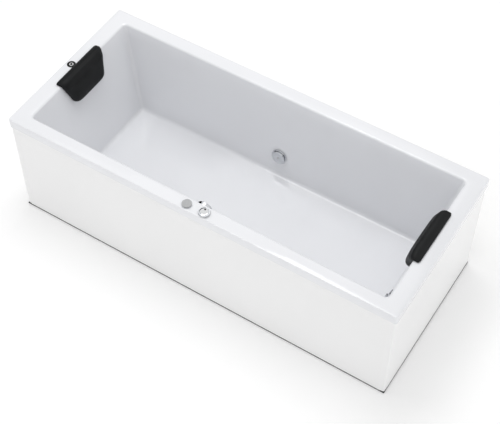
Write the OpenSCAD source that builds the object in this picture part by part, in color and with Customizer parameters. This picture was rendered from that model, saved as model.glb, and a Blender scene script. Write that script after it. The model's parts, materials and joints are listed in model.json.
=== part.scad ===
// Rectangular jetted bathtub with panels, frame, pump, pipework and controls.
// Millimetres. X runs along the bath, -Y is the front, +Y the wall side, Z is up.
// The origin lies on the floor under the middle of the rim.

/* [Bath] */
// Length over the rim
bath_l = 1750; // [1700:5:1850]
// Width over the rim
bath_w = 750; // [740:5:850]
// Height of the rim above the floor
bath_h = 540; // [538:1:580]
// Depth of the basin below the rim
basin_depth = 425; // [405:1:427]
// Rim width at each end
rim_end_w = 70; // [66:1:90]
// Rim width along each side
rim_side_w = 60; // [59:1:62]
// How far each end wall leans out over the depth
end_run = 96; // [88:1:104]
// How far each side wall leans out over the depth
side_run = 54; // [50:1:58]
// Inside radius where walls meet each other and the floor
basin_r = 18; // [12:1:22]
// Thickness of the acrylic shell
shell_t = 6; // [5:0.5:7]
// Depth of the turned-down rim lip
lip_h = 42; // [36:1:50]
// Thickness of the lip
lip_t = 4; // [3:0.5:4.5]
// Plan radius of the rim corners
rim_corner_r = 10; // [8:1:16]
// Rounding of the rim's outer top edge
rim_round = 4; // [2:0.5:6]
// Rounding of the edge between the rim and the basin walls
rim_roll = 8; // [4:0.5:9]

/* [Panels] */
// Thickness of the panels
panel_t = 4; // [3:0.5:4.5]
// Gap between a panel and the inside of the lip
panel_gap = 0.3; // [0.2:0.1:0.5]
// Gap between the panels and the floor
panel_lift = 5; // [3:1:8]
// How far a panel tucks up behind the lip
panel_tuck = 15; // [10:1:20]
// Width of each face of a corner strip
corner_w = 16; // [14:1:22]
// Outside radius of a corner strip
corner_r = 8; // [5:1:10]
// Width of the flanges folded in along the panels
flange_w = 15; // [10:1:18]

/* [Frame] */
// Side of the square frame tube
rail = 30; // [28:1:32]
// Wall of the square frame tube
rail_wall = 2; // [1.5:0.5:3]
// Side of the square upright tube
upright = 20; // [16:1:22]
// Thickness of the board under the basin
board_t = 18; // [15:1:19]
// Distance of the end cross rails from the ends of the bath
cross_x = 185; // [175:5:205]
// Place of the middle cross rail
middle_x = 120; // [105:5:130]
// Distance of the long rails from the middle
long_y = 120; // [100:5:150]
// Distance of the feet from the sides of the bath
foot_y = 85; // [75:2:95]
// Radius of a foot pad
foot_r = 25; // [20:1:30]
// Height of a foot pad
foot_h = 10; // [8:1:12]
// Radius of the foot rods
rod_r = 6; // [5:0.5:7]

/* [Jets] */
// Height of the jets above the basin floor
jet_up = 140; // [130:2:160]
// Distance of the middle pair of side jets from the middle
jet_near = 170; // [160:5:220]
// Distance of the outer pair of side jets from the middle
jet_far = 480; // [420:5:540]
// Distance of the end jets from the middle line
jet_end = 130; // [110:5:160]
// Radius of the rotating jet face
jet_face_r = 33; // [30:0.5:35]
// Radius of the jet ball
ball_r = 14; // [13:0.5:14]
// Radius of the nozzle's water bore
nozzle_r = 5.5; // [4:0.5:6]

/* [Fittings] */
// Height of the suction cover above the basin floor
suction_up = 103; // [95:1:110]
// Radius of the suction cover's brim
suction_r = 35; // [33:0.5:38]
// Radius of the suction cover's raised face
suction_face_r = 30; // [28:0.5:31]
// Depth of the overflow's middle below the rim
overflow_down = 74; // [73:1:84]
// Radius of the overflow knob
overflow_r = 34.5; // [32:0.5:36]
// Stand-off of the overflow knob's face from the wall
overflow_stand = 30; // [26:1:32]
// Distance of the waste from the foot of the near wall
drain_y = 76; // [66:1:81]
// Radius of the waste flange
drain_r = 35; // [33:0.5:38]
// Radius of the waste plug
plug_r = 27; // [25:0.5:30]
// Lift of the waste plug
plug_lift = 10; // [8:1:12]
// Distance of the button from the middle
button_x = -34; // [-45:1:-34]
// Radius of the button's flange
button_r = 22; // [20:0.5:23]
// Travel of the button
button_travel = 3; // [2:0.5:3]
// Distance of the air knob from the middle
knob_x = 45; // [43:1:55]
// Radius of the air knob
knob_r = 23; // [20:0.5:24]
// Height of the air knob
knob_h = 7; // [6:0.5:10]

/* [Headrests] */
// Width of a headrest at the rim
pad_top_w = 270; // [240:5:320]
// Shift of the headrests towards the wall side
pad_shift = 8; // [0:1:15]
// Width of a headrest at its lower edge
pad_low_w = 190; // [160:5:230]
// Length of a headrest down the wall
pad_drop = 118; // [100:2:140]
// Width of the flap on the rim
pad_flap = 25; // [20:1:32]
// Thickness of the flap
flap_t = 14; // [10:1:18]
// Thickness of the headrest
pad_t = 31; // [28:1:38]

/* [Pump and pipes] */
// Distance of the pump's axis from the end of the bath
pump_x = 75; // [71:1:77]
// Height of the pump's axis above the underside of the frame
pump_z = 65.2; // [64.2:0.5:66.2]
// Radius over the motor's fins
motor_r = 55; // [50:1:56]
// Length of the finned motor body
motor_l = 195; // [170:5:200]
// Radius of the pump casing
volute_r = 54; // [52:0.5:54.5]
// Outside radius of the pressure pipe
main_r = 20; // [18:0.5:20]
// Outside radius of the suction pipe
suction_pipe_r = 25; // [24:0.5:25]
// Outside radius of the air pipe
air_r = 10; // [9:0.5:11]
// Outside radius of the overflow hose
hose_r = 13; // [12:0.5:13]
// Outside radius of the waste outlet
waste_r = 20; // [19:0.5:20]

/* [Hidden] */
$fn = 48;
// How far a cut runs past the face that it opens
cut = 1;
// Clearance between a fitting and the wall it sits on
seat = 0.2;
// Radial clearance of a shaft that turns or slides in its bore
running = 0.05;
// Radial clearance of a pipe in its socket
socket_gap = 0.3;

// Step to which the lines of the pipes are rounded, so that their legs and bends meet
line_step = 0.01;
function on_step(v) = round(v / line_step) * line_step;

// Levels and wall slopes
floor_z = bath_h - basin_depth;
shell_low = floor_z - shell_t;
board_low = shell_low - board_t;
cross_top = board_low - rail - seat;
cross_low = cross_top - rail;
side_a = atan(side_run / basin_depth);
end_a = atan(end_run / basin_depth);
function wall_y(z) = bath_w / 2 - rim_side_w - (bath_h - z) * tan(side_a);
function wall_x(z) = bath_l / 2 - rim_end_w - (bath_h - z) * tan(end_a);
lip_y = bath_w / 2 - lip_t;
lip_x = bath_l / 2 - lip_t;
cross_at = bath_l / 2 - cross_x;
foot_at = bath_w / 2 - foot_y;
pump_at = bath_l / 2 - pump_x;
axis_z = on_step(cross_low + pump_z);
waste_y = on_step(wall_y(floor_z) - drain_y);

// Panel planes
panel_y = lip_y - panel_gap;
panel_x = lip_x - panel_gap;
panel_in_y = panel_y - panel_t;
panel_in_x = panel_x - panel_t;
panel_top = bath_h - lip_h + panel_tuck;
strip_tongue = 15;
strip_t = 3;

// Battens, uprights and clips
batten = 24;
clip_gap = 5;
batten_out_y = panel_in_y - clip_gap;
batten_out_x = panel_in_x - clip_gap;
batten_top = bath_h - shell_t;
batten_low = batten_top - batten;
upright_y = batten_out_y - upright / 2;
clip_w = 30;
clip_t = 2;
clip_drop = 20;

// Jet sizes along its own axis, measured from the wall into the basin
jet_z = floor_z + jet_up;
gasket_t = 1.5;
collar_t = 2.5;
collar_r = 30;
jet_bore_r = 17;
jet_tube_r = 19;
hole_gap = 0.5;
jet_chamber_r = 22;
nut_h = 8;
jet_chamber_front = shell_t + 2 * seat + nut_h;
jet_chamber_l = 40;
chamber_wall = 3;
jet_depth = jet_chamber_front + jet_chamber_l / 2;
collar_front = seat + gasket_t + collar_t;
face_gap = 0.3;
jet_face_t = 6;
jet_face_z = collar_front + face_gap;
ball_z = 2;
ball_gap = 0.3;
ring_tail = 12;
grip_count = 12;
grip_r = 5;
inlet_r = 10;
nose_r = 8.5;
nose_l = 15.5;
ball_tail = 11;
nut_wide = 1.55;
jets = [["near", -jet_far], ["near", -jet_near], ["near", jet_near], ["near", jet_far],
    ["right", -jet_end], ["right", jet_end]];

// Pipe levels and lines
main_drop = 65;
air_rise = 45;
pipe_wall = 2;
main_z = jet_z - main_drop;
air_z = jet_z + air_rise;
air_bore = air_r - pipe_wall;
side_line = on_step(wall_y(jet_z) + jet_depth * cos(side_a));
end_line = on_step(wall_x(jet_z) + jet_depth * cos(end_a));
main_bend = 30;
air_bend = 18;
stub_r = 13;
stub_bore = 10;
tee_r = 17;
tee_rise = 30;
tee_overlap = 9;
barb_r = 6;
barb_bore = 4;
barb_tee_r = 9;
barb_drop = 22;
pipe_end = 25;

// Suction sizes
suction_z = floor_z + suction_up;
suction_tube_r = 24;
suction_bore = 21;
suction_depth = 42;
suction_chamber_r = 27;
suction_chamber_l = 56;
suction_stub_r = 22;
suction_stub_l = 62;
suction_bend = 38;
suction_stand = 14;
cover_t = 3;
cover_slots = 16;
slot_edge = 0.6;
suction_y = on_step(wall_y(suction_z) + suction_depth * cos(side_a));
suction_line_z = on_step(suction_z - suction_depth * sin(side_a));

// Overflow sizes
overflow_z = bath_h - overflow_down;
overflow_depth = 43;
overflow_hole_r = 20;
overflow_sleeve_r = 15.5;
overflow_chamber_r = 29;
overflow_chamber_l = 28;
overflow_flange_r = 30;
overflow_shaft_r = 6;
knob_skirt = 16;
knob_wall = 3;
overflow_y = on_step(wall_y(overflow_z) + overflow_depth * cos(side_a));
overflow_line_z = on_step(overflow_z - overflow_depth * sin(side_a));
hose_bore = hose_r - pipe_wall;
hose_bend = 34;
cable_r = 3;
cable_x = 18;
cable_bend = 14;

// Waste sizes
drain_hole_r = 26;
drain_sleeve_r = 25;
drain_bore = 22;
drain_sleeve_l = 24;
drain_cup_r = 29;
drain_cup_h = 55;
drain_cup_low = shell_low - drain_cup_h;
board_hole_r = 38;
spoke_w = 4;
spoke_h = 4;
hub_r = 8;
stem_r = 4;
stem_tail = 8;
hose_up = 21;
cable_up = 4;
hose_low = drain_cup_low + hose_up;
cable_low = drain_cup_low + cable_up;
stem_l = drain_sleeve_l + plug_lift + stem_tail;
plug_t = 6;
tail_r = 18;
trap_r = 42;
trap_drop = 6;
trap_h = 36;
trap_top = drain_cup_low - trap_drop;
trap_low = trap_top - trap_h;
trap_wall = 3;
outlet_up = 20;
outlet_z = trap_low + outlet_up;
outlet_wall = 2.5;
outlet_in = 15;
outlet_y = bath_w / 2 - outlet_in;
spigot_l = 30;
spigot_step = 1;

// Rim controls
control_shift = 4;
control_y = bath_w / 2 - rim_side_w / 2 + control_shift;
control_barrel_r = 14.5;
control_hole_r = 15;
control_l = 34;
control_collar = 2;
control_nut_r = 19.5;
button_lip = 4;
button_cap_r = 20;
button_floor = 1;
button_cap_t = 2.5;
plunger_r = 9.95;
plunger_l = 20;
spring_r = 7;
spring_wire = 0.7;
spring_turns = 4;
control_floor = 4;
button_tube_r = 3;
button_barb = 8;
air_stub_r = 7.5;
air_stub_l = 26;
knob_neck = 0.8;
knob_dish = 1.2;
knob_grips = 24;

// Pump sizes along its axis
bell_l = 8;
bell_in = 3;
fan_room = 40;
cover_wall = 2;
fan_blades = 8;
fan_l = 18;
fan_r = 44;
shaft_r = 7;
fins = 28;
fin_w = 2.5;
core_share = 0.86;
volute_l = 52;
volute_wall = 7;
impeller_l = 26;
vane_count = 6;
vane_t = 4;
inlet_l = 20;
discharge_x = 32;
discharge_out = 17;
main_bore = discharge_out + socket_gap;
discharge_top = 54;
mount_r = 12;
mount_h = 8;
tray_t = 3;
tray_edge = 15;
saddle_w = 30;
box_w = 55;
box_l = 90;
box_h = 35;
box_lid_t = 4;
gland_r = 9;
gland_bore = 4;
gland_l = 16;
inlet_y = round(suction_y) - suction_bend - inlet_l - chamber_wall;
volute_y = inlet_y - volute_l;
motor_front = volute_y - bell_l - motor_l;
box_y = motor_front + motor_l / 3;
gland_in = 15;

// Headrest sizes
pad_gap = 0.3;
pad_edge = 5;
pad_fold = 14;
pad_top_r = 9;
pad_low_r = 26;
pad_draw = 3;
pad_rows = 20;
pad_fold_row = 7;
pad_columns = 20;
cup_r = 17;
cup_t = 1.5;
cup_neck_r = 4;
cup_shift = 2;

function unit(v) = v / norm(v);
function turn(a, b) = acos(max(-1, min(1, a * b)));
function run_dir(p, i) = unit(p[i + 1] - p[i]);
function run_cut(p, i, bend) = i == 0 || i == len(p) - 1 ? 0
    : bend * tan(turn(run_dir(p, i - 1), run_dir(p, i)) / 2);
function stretched(p) = [for (i = [0:len(p) - 1])
    i == 0 ? p[0] - cut * run_dir(p, 0)
    : i == len(p) - 1 ? p[i] + cut * run_dir(p, i - 1) : p[i]];
function inset_ends(p) = [for (i = [0:len(p) - 1])
    i == 0 ? p[0] + chamber_wall * run_dir(p, 0)
    : i == len(p) - 1 ? p[i] - chamber_wall * run_dir(p, i - 1) : p[i]];
function smooth(t) = let (u = max(0, min(1, t))) u * u * (3 - 2 * u);

module pipe_section(r, bore) {
    difference() {
        circle(r = r);
        if (bore > 0)
            circle(r = bore);
    }
}

// A pipe of radius r along straight legs joined by round bends
module pipe_run(points, bend, r, bore = 0) {
    last = len(points) - 1;
    for (i = [0:last - 1]) {
        along = run_dir(points, i);
        before = run_cut(points, i, bend);
        after = run_cut(points, i + 1, bend);
        translate(points[i] + along * before)
            rotate([0, acos(along.z), atan2(along.y, along.x)])
                linear_extrude(norm(points[i + 1] - points[i]) - before - after)
                    pipe_section(r, bore);
    }
    if (last > 1)
        for (i = [1:last - 1]) {
            u = run_dir(points, i - 1);
            w = run_dir(points, i);
            x = -unit(w - u * (u * w));
            z = cross(x, u);
            c = points[i] - u * run_cut(points, i, bend) - x * bend;
            multmatrix([[x.x, u.x, z.x, c.x], [x.y, u.y, z.y, c.y],
                [x.z, u.z, z.z, c.z], [0, 0, 0, 1]])
                rotate_extrude(angle = turn(u, w))
                    translate([bend, 0])
                        pipe_section(r, bore);
        }
}

module ring(h, r, bore) {
    difference() {
        cylinder(h = h, r = r);
        translate([0, 0, -cut])
            cylinder(h = h + 2 * cut, r = bore);
    }
}

// Places children on a basin wall, with their Z pointing into the basin
module at_wall(side, along, z) {
    if (side == "near")
        translate([along, -wall_y(z), z])
            rotate([side_a - 90, 0, 0])
                children();
    else if (side == "far")
        translate([along, wall_y(z), z])
            rotate([90 - side_a, 0, 0])
                children();
    else
        translate([wall_x(z), along, z])
            rotate([0, end_a - 90, 0])
                children();
}

module at_jet(i) {
    at_wall(jets[i][0], jets[i][1], jet_z)
        children();
}

// The point behind the wall where a jet's chamber has its middle
function jet_middle(i) = jets[i][0] == "near"
    ? [jets[i][1], -side_line, jet_z - jet_depth * sin(side_a)]
    : [end_line, jets[i][1], jet_z - jet_depth * sin(end_a)];
function jet_line(i, z) = [jet_middle(i).x, jet_middle(i).y, z];

// The basin as a rounded hollow form, grown outwards for its outside
module basin_form(grow) {
    r = basin_r + grow;
    low = floor_z + basin_r;
    high = bath_h + basin_r;
    hull()
        for (sx = [-1, 1], sy = [-1, 1], z = [low, high])
            translate([sx * (wall_x(z) - basin_r / cos(end_a)),
                sy * (wall_y(z) - basin_r / cos(side_a)), z])
                sphere(r = r, $fn = 32);
}

// The rolled edge of the basin's opening, cut in slices that widen towards the rim's top
roll_slices = 4;
roll_over = 0.01;
module rolled_edge() {
    for (k = [0:roll_slices - 1])
        hull()
            for (j = [k, k + 1], sx = [-1, 1], sy = [-1, 1])
                let (a = 90 * j / roll_slices, z = bath_h - rim_roll * (1 - sin(a)),
                    out = rim_roll * (1 - cos(a)) - basin_r)
                    translate([sx * (wall_x(z) + out), sy * (wall_y(z) + out), z])
                        cylinder(h = j == roll_slices ? cut : roll_over, r = basin_r, $fn = 32);
}

module rim_corner_post(h) {
    rotate_extrude($fn = 32)
        difference() {
            square([rim_corner_r, h]);
            translate([rim_corner_r - rim_round, h - rim_round])
                difference() {
                    square([rim_round + cut, rim_round + cut]);
                    circle(r = rim_round, $fn = 32);
                }
        }
}

module rim_form() {
    hull()
        for (sx = [-1, 1], sy = [-1, 1])
            translate([sx * (bath_l / 2 - rim_corner_r), sy * (bath_w / 2 - rim_corner_r),
                bath_h - lip_h])
                rim_corner_post(lip_h);
}

module rim_hollow() {
    inner_r = rim_corner_r - lip_t;
    translate([0, 0, bath_h - lip_h - cut])
        linear_extrude(lip_h - shell_t + cut)
            union() {
                square([2 * lip_x - 2 * inner_r, 2 * lip_y], center = true);
                square([2 * lip_x, 2 * lip_y - 2 * inner_r], center = true);
                for (sx = [-1, 1], sy = [-1, 1])
                    translate([sx * (lip_x - inner_r), sy * (lip_y - inner_r)])
                        circle(r = inner_r);
            }
}

module wall_hole(r) {
    translate([0, 0, -4 * shell_t])
        cylinder(h = 8 * shell_t, r = r);
}

module tub_shell() {
    color("white")
        difference() {
            union() {
                difference() {
                    rim_form();
                    rim_hollow();
                }
                intersection() {
                    basin_form(shell_t);
                    translate([-bath_l / 2, -bath_w / 2, 0])
                        cube([bath_l, bath_w, bath_h - cut]);
                }
            }
            basin_form(0);
            rolled_edge();
            for (i = [0:5])
                at_jet(i)
                    wall_hole(jet_tube_r + hole_gap);
            at_wall("far", 0, suction_z)
                wall_hole(suction_tube_r + hole_gap);
            at_wall("near", 0, overflow_z)
                wall_hole(overflow_hole_r);
            translate([0, -waste_y, floor_z])
                wall_hole(drain_hole_r);
            for (x = [button_x, knob_x])
                translate([x, -control_y, bath_h])
                    wall_hole(control_hole_r);
        }
}

board_half_l = wall_x(floor_z) - basin_r - shell_t;
board_half_w = wall_y(floor_z) - basin_r - shell_t;
module base_board() {
    color("burlywood")
        difference() {
            translate([-board_half_l, -board_half_w, board_low])
                cube([2 * board_half_l, 2 * board_half_w, board_t]);
            translate([0, -waste_y, board_low - cut])
                cylinder(h = board_t + 2 * cut, r = board_hole_r);
        }
}

side_batten_l = bath_l / 2 - rim_end_w / 2;
control_clear = control_nut_r + batten;
end_batten_l = bath_w / 2 - 2 * batten - rim_side_w / 3;
module rim_battens() {
    color("burlywood") {
        translate([-side_batten_l, batten_out_y - batten, batten_low])
            cube([2 * side_batten_l, batten, batten]);
        translate([-side_batten_l, -batten_out_y, batten_low])
            cube([side_batten_l + button_x - control_clear, batten, batten]);
        translate([knob_x + control_clear, -batten_out_y, batten_low])
            cube([side_batten_l - knob_x - control_clear, batten, batten]);
        for (s = [-1, 1])
            translate([s * (batten_out_x - batten / 2) - batten / 2, -end_batten_l, batten_low])
                cube([batten, 2 * end_batten_l, batten]);
    }
}

module square_tube(l, side, wall) {
    linear_extrude(l)
        difference() {
            square(side, center = true);
            square(side - 2 * wall, center = true);
        }
}

cross_places = [-cross_at, middle_x, cross_at];
long_left = cross_at + rail / 2;
long_right = batten_out_x;
module frame_rails() {
    color("dimgray") {
        for (s = [-1, 1])
            translate([-long_left, s * long_y, board_low - rail / 2])
                rotate([0, 90, 0])
                    square_tube(long_left + long_right, rail, rail_wall);
        for (x = cross_places)
            difference() {
                translate([x, -batten_out_y, cross_top - rail / 2])
                    rotate([-90, 0, 0])
                        square_tube(2 * batten_out_y, rail, rail_wall);
                for (s = [-1, 1])
                    translate([x, s * foot_at, cross_low - cut])
                        cylinder(h = rail + 2 * cut, r = rod_r + hole_gap);
            }
    }
}

module frame_uprights() {
    color("dimgray")
        for (x = cross_places, s = [-1, 1]) {
            translate([x, s * upright_y, cross_top])
                square_tube(batten_low - cross_top - clip_t, upright, rail_wall);
            translate([x - upright, s * upright_y - upright / 2, batten_low - clip_t])
                cube([2 * upright, upright, clip_t]);
        }
}

foot_places = [[-cross_at, -foot_at], [cross_at, -foot_at], [-cross_at, foot_at], [cross_at, foot_at]];
rod_top = 22;
rod_foot = 4;
module lock_nuts() {
    color("silver")
        for (p = foot_places, z = [cross_low - nut_h, cross_top])
            translate([p.x, p.y, z])
                difference() {
                    cylinder(h = nut_h, r = rod_r * 2 / sqrt(3) * 1.6, $fn = 6);
                    translate([0, 0, -cut])
                        cylinder(h = nut_h + 2 * cut, r = rod_r + running);
                }
}

module foot(i) {
    translate([foot_places[i].x, foot_places[i].y, 0])
        color("black") {
            difference() {
                union() {
                    cylinder(h = foot_h / 2, r = foot_r);
                    translate([0, 0, foot_h / 2])
                        cylinder(h = foot_h / 2, r1 = foot_r, r2 = foot_r * 0.7);
                    cylinder(h = foot_h + rod_foot, r = rod_r * 1.7, $fn = 6);
                }
                translate([0, 0, rod_foot])
                    cylinder(h = foot_h + rod_foot, r = rod_r);
            }
            translate([0, 0, rod_foot])
                cylinder(h = cross_top + rod_top - rod_foot, r = rod_r);
        }
}

// A panel lying in the XZ plane, with its face at Y = 0 and its flanges behind
module panel_sheet(l) {
    h = panel_top - panel_lift;
    translate([0, 0, panel_lift]) {
        cube([l, panel_t, h]);
        translate([strip_tongue, 0, 0])
            cube([l - 2 * strip_tongue, panel_t + flange_w, panel_t]);
        for (s = panel_rib_shares)
            translate([s * l - rib_w / 2, panel_t, 0])
                cube([rib_w, rib_h, h - 2 * panel_tuck]);
    }
}
panel_rib_shares = [0.15, 0.39, 0.61, 0.85];
rib_w = 12;
rib_h = 3;

module front_panel() {
    half = panel_x - corner_w;
    color("white")
        translate([-half, -panel_y, 0])
            panel_sheet(2 * half);
}

module end_panel() {
    l = panel_y - corner_w + lip_y - rim_corner_r;
    h = panel_top - panel_lift;
    translate([panel_x, -panel_y + corner_w, 0])
        rotate([0, 0, 90]) {
            panel_sheet(l);
            translate([l - panel_t, 0, panel_lift])
                cube([panel_t, panel_t + flange_w, h]);
        }
}

module left_end_panel() {
    color("white")
        mirror([1, 0, 0])
            end_panel();
}

module right_end_panel() {
    color("white")
        end_panel();
}

// Profile of the right corner strip in plan, with a round outer corner
module strip_profile() {
    translate([-corner_w, 0])
        square([corner_w - corner_r, panel_t]);
    translate([-panel_t, corner_r])
        square([panel_t, corner_w - corner_r]);
    difference() {
        translate([-corner_r, corner_r])
            pipe_section(corner_r, corner_r - panel_t);
        translate([-3 * corner_r, corner_r])
            square(3 * corner_r);
        translate([-3 * corner_r, 0])
            square([2 * corner_r, 3 * corner_r]);
    }
    translate([-corner_w - strip_tongue, panel_t])
        square([strip_tongue + corner_w - panel_t, strip_t]);
    translate([-panel_t - strip_t, panel_t])
        square([strip_t, strip_tongue + corner_w - panel_t]);
}

module corner_strips() {
    color("white")
        for (s = [0, 1])
            mirror([s, 0, 0])
                translate([panel_x, -panel_y, panel_lift + panel_t])
                    linear_extrude(panel_top - panel_lift - panel_t)
                        strip_profile();
}

module clip() {
    translate([-clip_w / 2, 0, 0]) {
        translate([0, 0, -clip_drop])
            cube([clip_w, clip_gap, clip_drop + batten / 2]);
        translate([0, clip_gap, -clip_t])
            cube([clip_w, batten / 2, clip_t]);
    }
}

front_clip_shares = [-0.9, -0.5, 0.5, 0.9];
end_clip_shares = [-0.6, 0.6];
module panel_clips() {
    color("gray") {
        for (s = front_clip_shares)
            translate([s * side_batten_l, -panel_in_y, batten_low])
                clip();
        for (s = end_clip_shares, side = [-1, 1])
            translate([side * panel_in_x, s * end_batten_l, batten_low])
                rotate([0, 0, side * 90])
                    clip();
        for (x = cross_places)
            translate([x - clip_w / 2, -panel_in_y, cross_low])
                cube([clip_w, clip_gap, rail]);
        for (s = [-1, 1])
            translate([long_right, s * long_y - clip_w / 2, cross_top])
                cube([clip_gap, clip_w, rail]);
        translate([-panel_in_x, -clip_w / 2, cross_low - tray_t])
            cube([clip_gap, clip_w, tray_edge]);
    }
}

module suction_cover() {
    slot_low = gasket_t + collar_front + seat + cover_t / 2 + slot_edge;
    color("silver")
        at_wall("far", 0, suction_z)
            difference() {
                union() {
                    translate([0, 0, gasket_t])
                        cylinder(h = collar_front + seat, r = suction_r);
                    translate([0, 0, gasket_t + collar_front + seat])
                        cylinder(h = cover_t / 2, r1 = suction_r, r2 = suction_r - cover_t / 2);
                    translate([0, 0, collar_front + seat])
                        cylinder(h = suction_stand - collar_front - cover_t / 2,
                            r = suction_face_r - cover_t / 2);
                    translate([0, 0, suction_stand - cover_t])
                        cylinder(h = cover_t / 2, r = suction_face_r);
                    translate([0, 0, suction_stand - cover_t / 2])
                        cylinder(h = cover_t / 2, r1 = suction_face_r, r2 = suction_face_r - cover_t / 2);
                }
                cylinder(h = collar_front + seat, r = collar_r + socket_gap);
                cylinder(h = suction_stand - cover_t, r = suction_face_r - 2 * cover_t);
                for (i = [0:cover_slots - 1])
                    rotate([0, 0, i * 360 / cover_slots])
                        translate([0, -cover_t / 2, slot_low])
                            cube([suction_r, cover_t, suction_stand - cover_t - slot_edge - slot_low]);
            }
}

module suction_body() {
    tail = suction_depth + suction_chamber_l / 2;
    front = suction_depth - suction_chamber_l / 2;
    color("whitesmoke")
        difference() {
            union() {
                at_wall("far", 0, suction_z) {
                    translate([0, 0, seat + gasket_t])
                        cylinder(h = collar_t, r = collar_r);
                    translate([0, 0, -front - cut])
                        cylinder(h = front + seat + gasket_t + 2 * cut, r = suction_tube_r);
                    translate([0, 0, -tail])
                        cylinder(h = suction_chamber_l, r = suction_chamber_r);
                }
                translate([0, suction_y, suction_line_z])
                    rotate([0, -90, 0])
                        cylinder(h = suction_stub_l, r = suction_stub_r);
            }
            at_wall("far", 0, suction_z)
                translate([0, 0, -tail + chamber_wall])
                    cylinder(h = tail + 3 * gasket_t + collar_t, r = suction_bore);
            translate([0, suction_y, suction_line_z])
                rotate([0, -90, 0])
                    cylinder(h = suction_stub_l + cut, r = suction_stub_r - chamber_wall);
        }
}

suction_route = [
    [-suction_chamber_r - 2 * chamber_wall, suction_y, suction_line_z],
    [-pump_at, suction_y, suction_line_z],
    [-pump_at, suction_y, axis_z],
    [-pump_at, inlet_y + chamber_wall, axis_z]];
module suction_pipe() {
    color("whitesmoke")
        pipe_run(suction_route, suction_bend, suction_pipe_r, suction_stub_r + socket_gap);
}

module at_pump() {
    translate([-pump_at, 0, axis_z])
        rotate([-90, 0, 0])
            children();
}

module pump_motor() {
    core_r = motor_r * core_share;
    color("lightslategray")
        difference() {
            union() {
                at_pump() {
                    translate([0, 0, motor_front])
                        linear_extrude(motor_l)
                            union() {
                                circle(r = core_r);
                                for (i = [0:fins - 1])
                                    rotate(i * 360 / fins)
                                        translate([0, -fin_w / 2])
                                            square([motor_r, fin_w]);
                            }
                    for (y = [motor_front - bell_l, motor_front + motor_l])
                        translate([0, 0, y])
                            cylinder(h = bell_l, r = motor_r - bell_in);
                }
                for (y = [motor_front + saddle_w, motor_front + motor_l - 2 * saddle_w])
                    translate([-pump_at - motor_r + mount_r, y, cross_low + mount_h])
                        cube([2 * motor_r - 2 * mount_r, saddle_w, axis_z - cross_low - core_r]);
                translate([-pump_at, box_y, axis_z])
                    cube([box_w, box_l, motor_r]);
            }
            at_pump()
                translate([0, 0, motor_front - bell_l - cut])
                    cylinder(h = motor_l + 2 * bell_l + 2 * cut, r = shaft_r + running);
        }
}

main_left_x = -pump_at - discharge_x;
main_start_y = volute_y + volute_l / 2;
neck_l = main_z - main_bend - cut - axis_z;
module pump_volute() {
    color("darkslategray")
        difference() {
            union() {
                at_pump() {
                    translate([0, 0, volute_y])
                        cylinder(h = volute_l, r = volute_r);
                    translate([0, 0, inlet_y])
                        cylinder(h = inlet_l, r = suction_stub_r);
                }
                translate([main_left_x, main_start_y, axis_z])
                    cylinder(h = neck_l, r = discharge_out);
            }
            at_pump() {
                translate([0, 0, volute_y + volute_wall])
                    cylinder(h = volute_l - 2 * volute_wall, r = volute_r - volute_wall);
                translate([0, 0, volute_y - cut])
                    cylinder(h = volute_wall + 2 * cut, r = shaft_r + running);
                translate([0, 0, inlet_y - volute_wall - cut])
                    cylinder(h = inlet_l + volute_wall + 2 * cut, r = suction_stub_r - chamber_wall);
            }
            translate([main_left_x, main_start_y, axis_z])
                cylinder(h = neck_l + cut, r = discharge_out - chamber_wall);
        }
}

module pump_fan_cover() {
    color("black")
        at_pump()
            translate([0, 0, motor_front - bell_l - fan_room])
                difference() {
                    cylinder(h = fan_room, r = motor_r - bell_in);
                    translate([0, 0, cover_wall])
                        cylinder(h = fan_room, r = motor_r - bell_in - cover_wall);
                    for (i = [0:5])
                        rotate([0, 0, i * 60])
                            for (x = [1:3])
                                translate([x * motor_r / 4, -x * vane_t, -cut])
                                    cube([vane_t, 2 * x * vane_t, cover_wall + 2 * cut]);
                }
}

module pump_terminal_box() {
    color("black")
        translate([-pump_at, box_y, axis_z + motor_r])
            difference() {
                union() {
                    cube([box_w, box_l, box_h]);
                    translate([box_w - gland_in, box_l, box_h / 2])
                        rotate([-90, 0, 0])
                            cylinder(h = gland_l, r = gland_r, $fn = 6);
                }
                translate([box_lid_t, box_lid_t, -cut])
                    cube([box_w - 2 * box_lid_t, box_l - 2 * box_lid_t, box_h - box_lid_t + cut]);
                translate([box_w - gland_in, box_l - box_lid_t - cut, box_h / 2])
                    rotate([-90, 0, 0])
                        cylinder(h = gland_l + box_lid_t + 2 * cut, r = gland_bore);
            }
}

tray_left = batten_out_x;
tray_front = motor_front + saddle_w - mount_r;
tray_back = motor_front + motor_l;
module pump_tray() {
    low = cross_low - tray_t;
    color("dimgray")
        difference() {
            union() {
                translate([-tray_left, tray_front, low])
                    cube([tray_left - cross_at + rail / 2, tray_back - tray_front, tray_t]);
                translate([-tray_left, -clip_w, low])
                    cube([tray_left - cross_at + rail / 2, tray_front + clip_w, tray_t]);
                translate([-tray_left, -clip_w, low])
                    cube([tray_t, tray_back + clip_w, tray_edge]);
            }
            for (y = [tray_front / 3, tray_back - saddle_w / 2])
                translate([-pump_at, y, low - cut])
                    cylinder(h = tray_t + 2 * cut, r = rod_r);
        }
}

module pump_mounts() {
    color("black")
        for (y = [motor_front + saddle_w, motor_front + motor_l - 2 * saddle_w], s = [-1, 1])
            translate([-pump_at + s * (motor_r - 2 * mount_r), y + saddle_w / 2, cross_low])
                cylinder(h = mount_h, r = mount_r);
}

shaft_front = motor_front - bell_l - fan_room * 0.8;
shaft_back = volute_y + volute_l / 2 + impeller_l / 2;
module pump_shaft() {
    color("silver")
        at_pump()
            translate([0, 0, shaft_front])
                cylinder(h = shaft_back - shaft_front, r = shaft_r);
}

module curved_vanes(count, inner, outer, t, h) {
    for (i = [0:count - 1])
        rotate([0, 0, i * 360 / count])
            translate([inner, -t / 2, 0])
                cube([outer - inner, t, h]);
}

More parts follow.
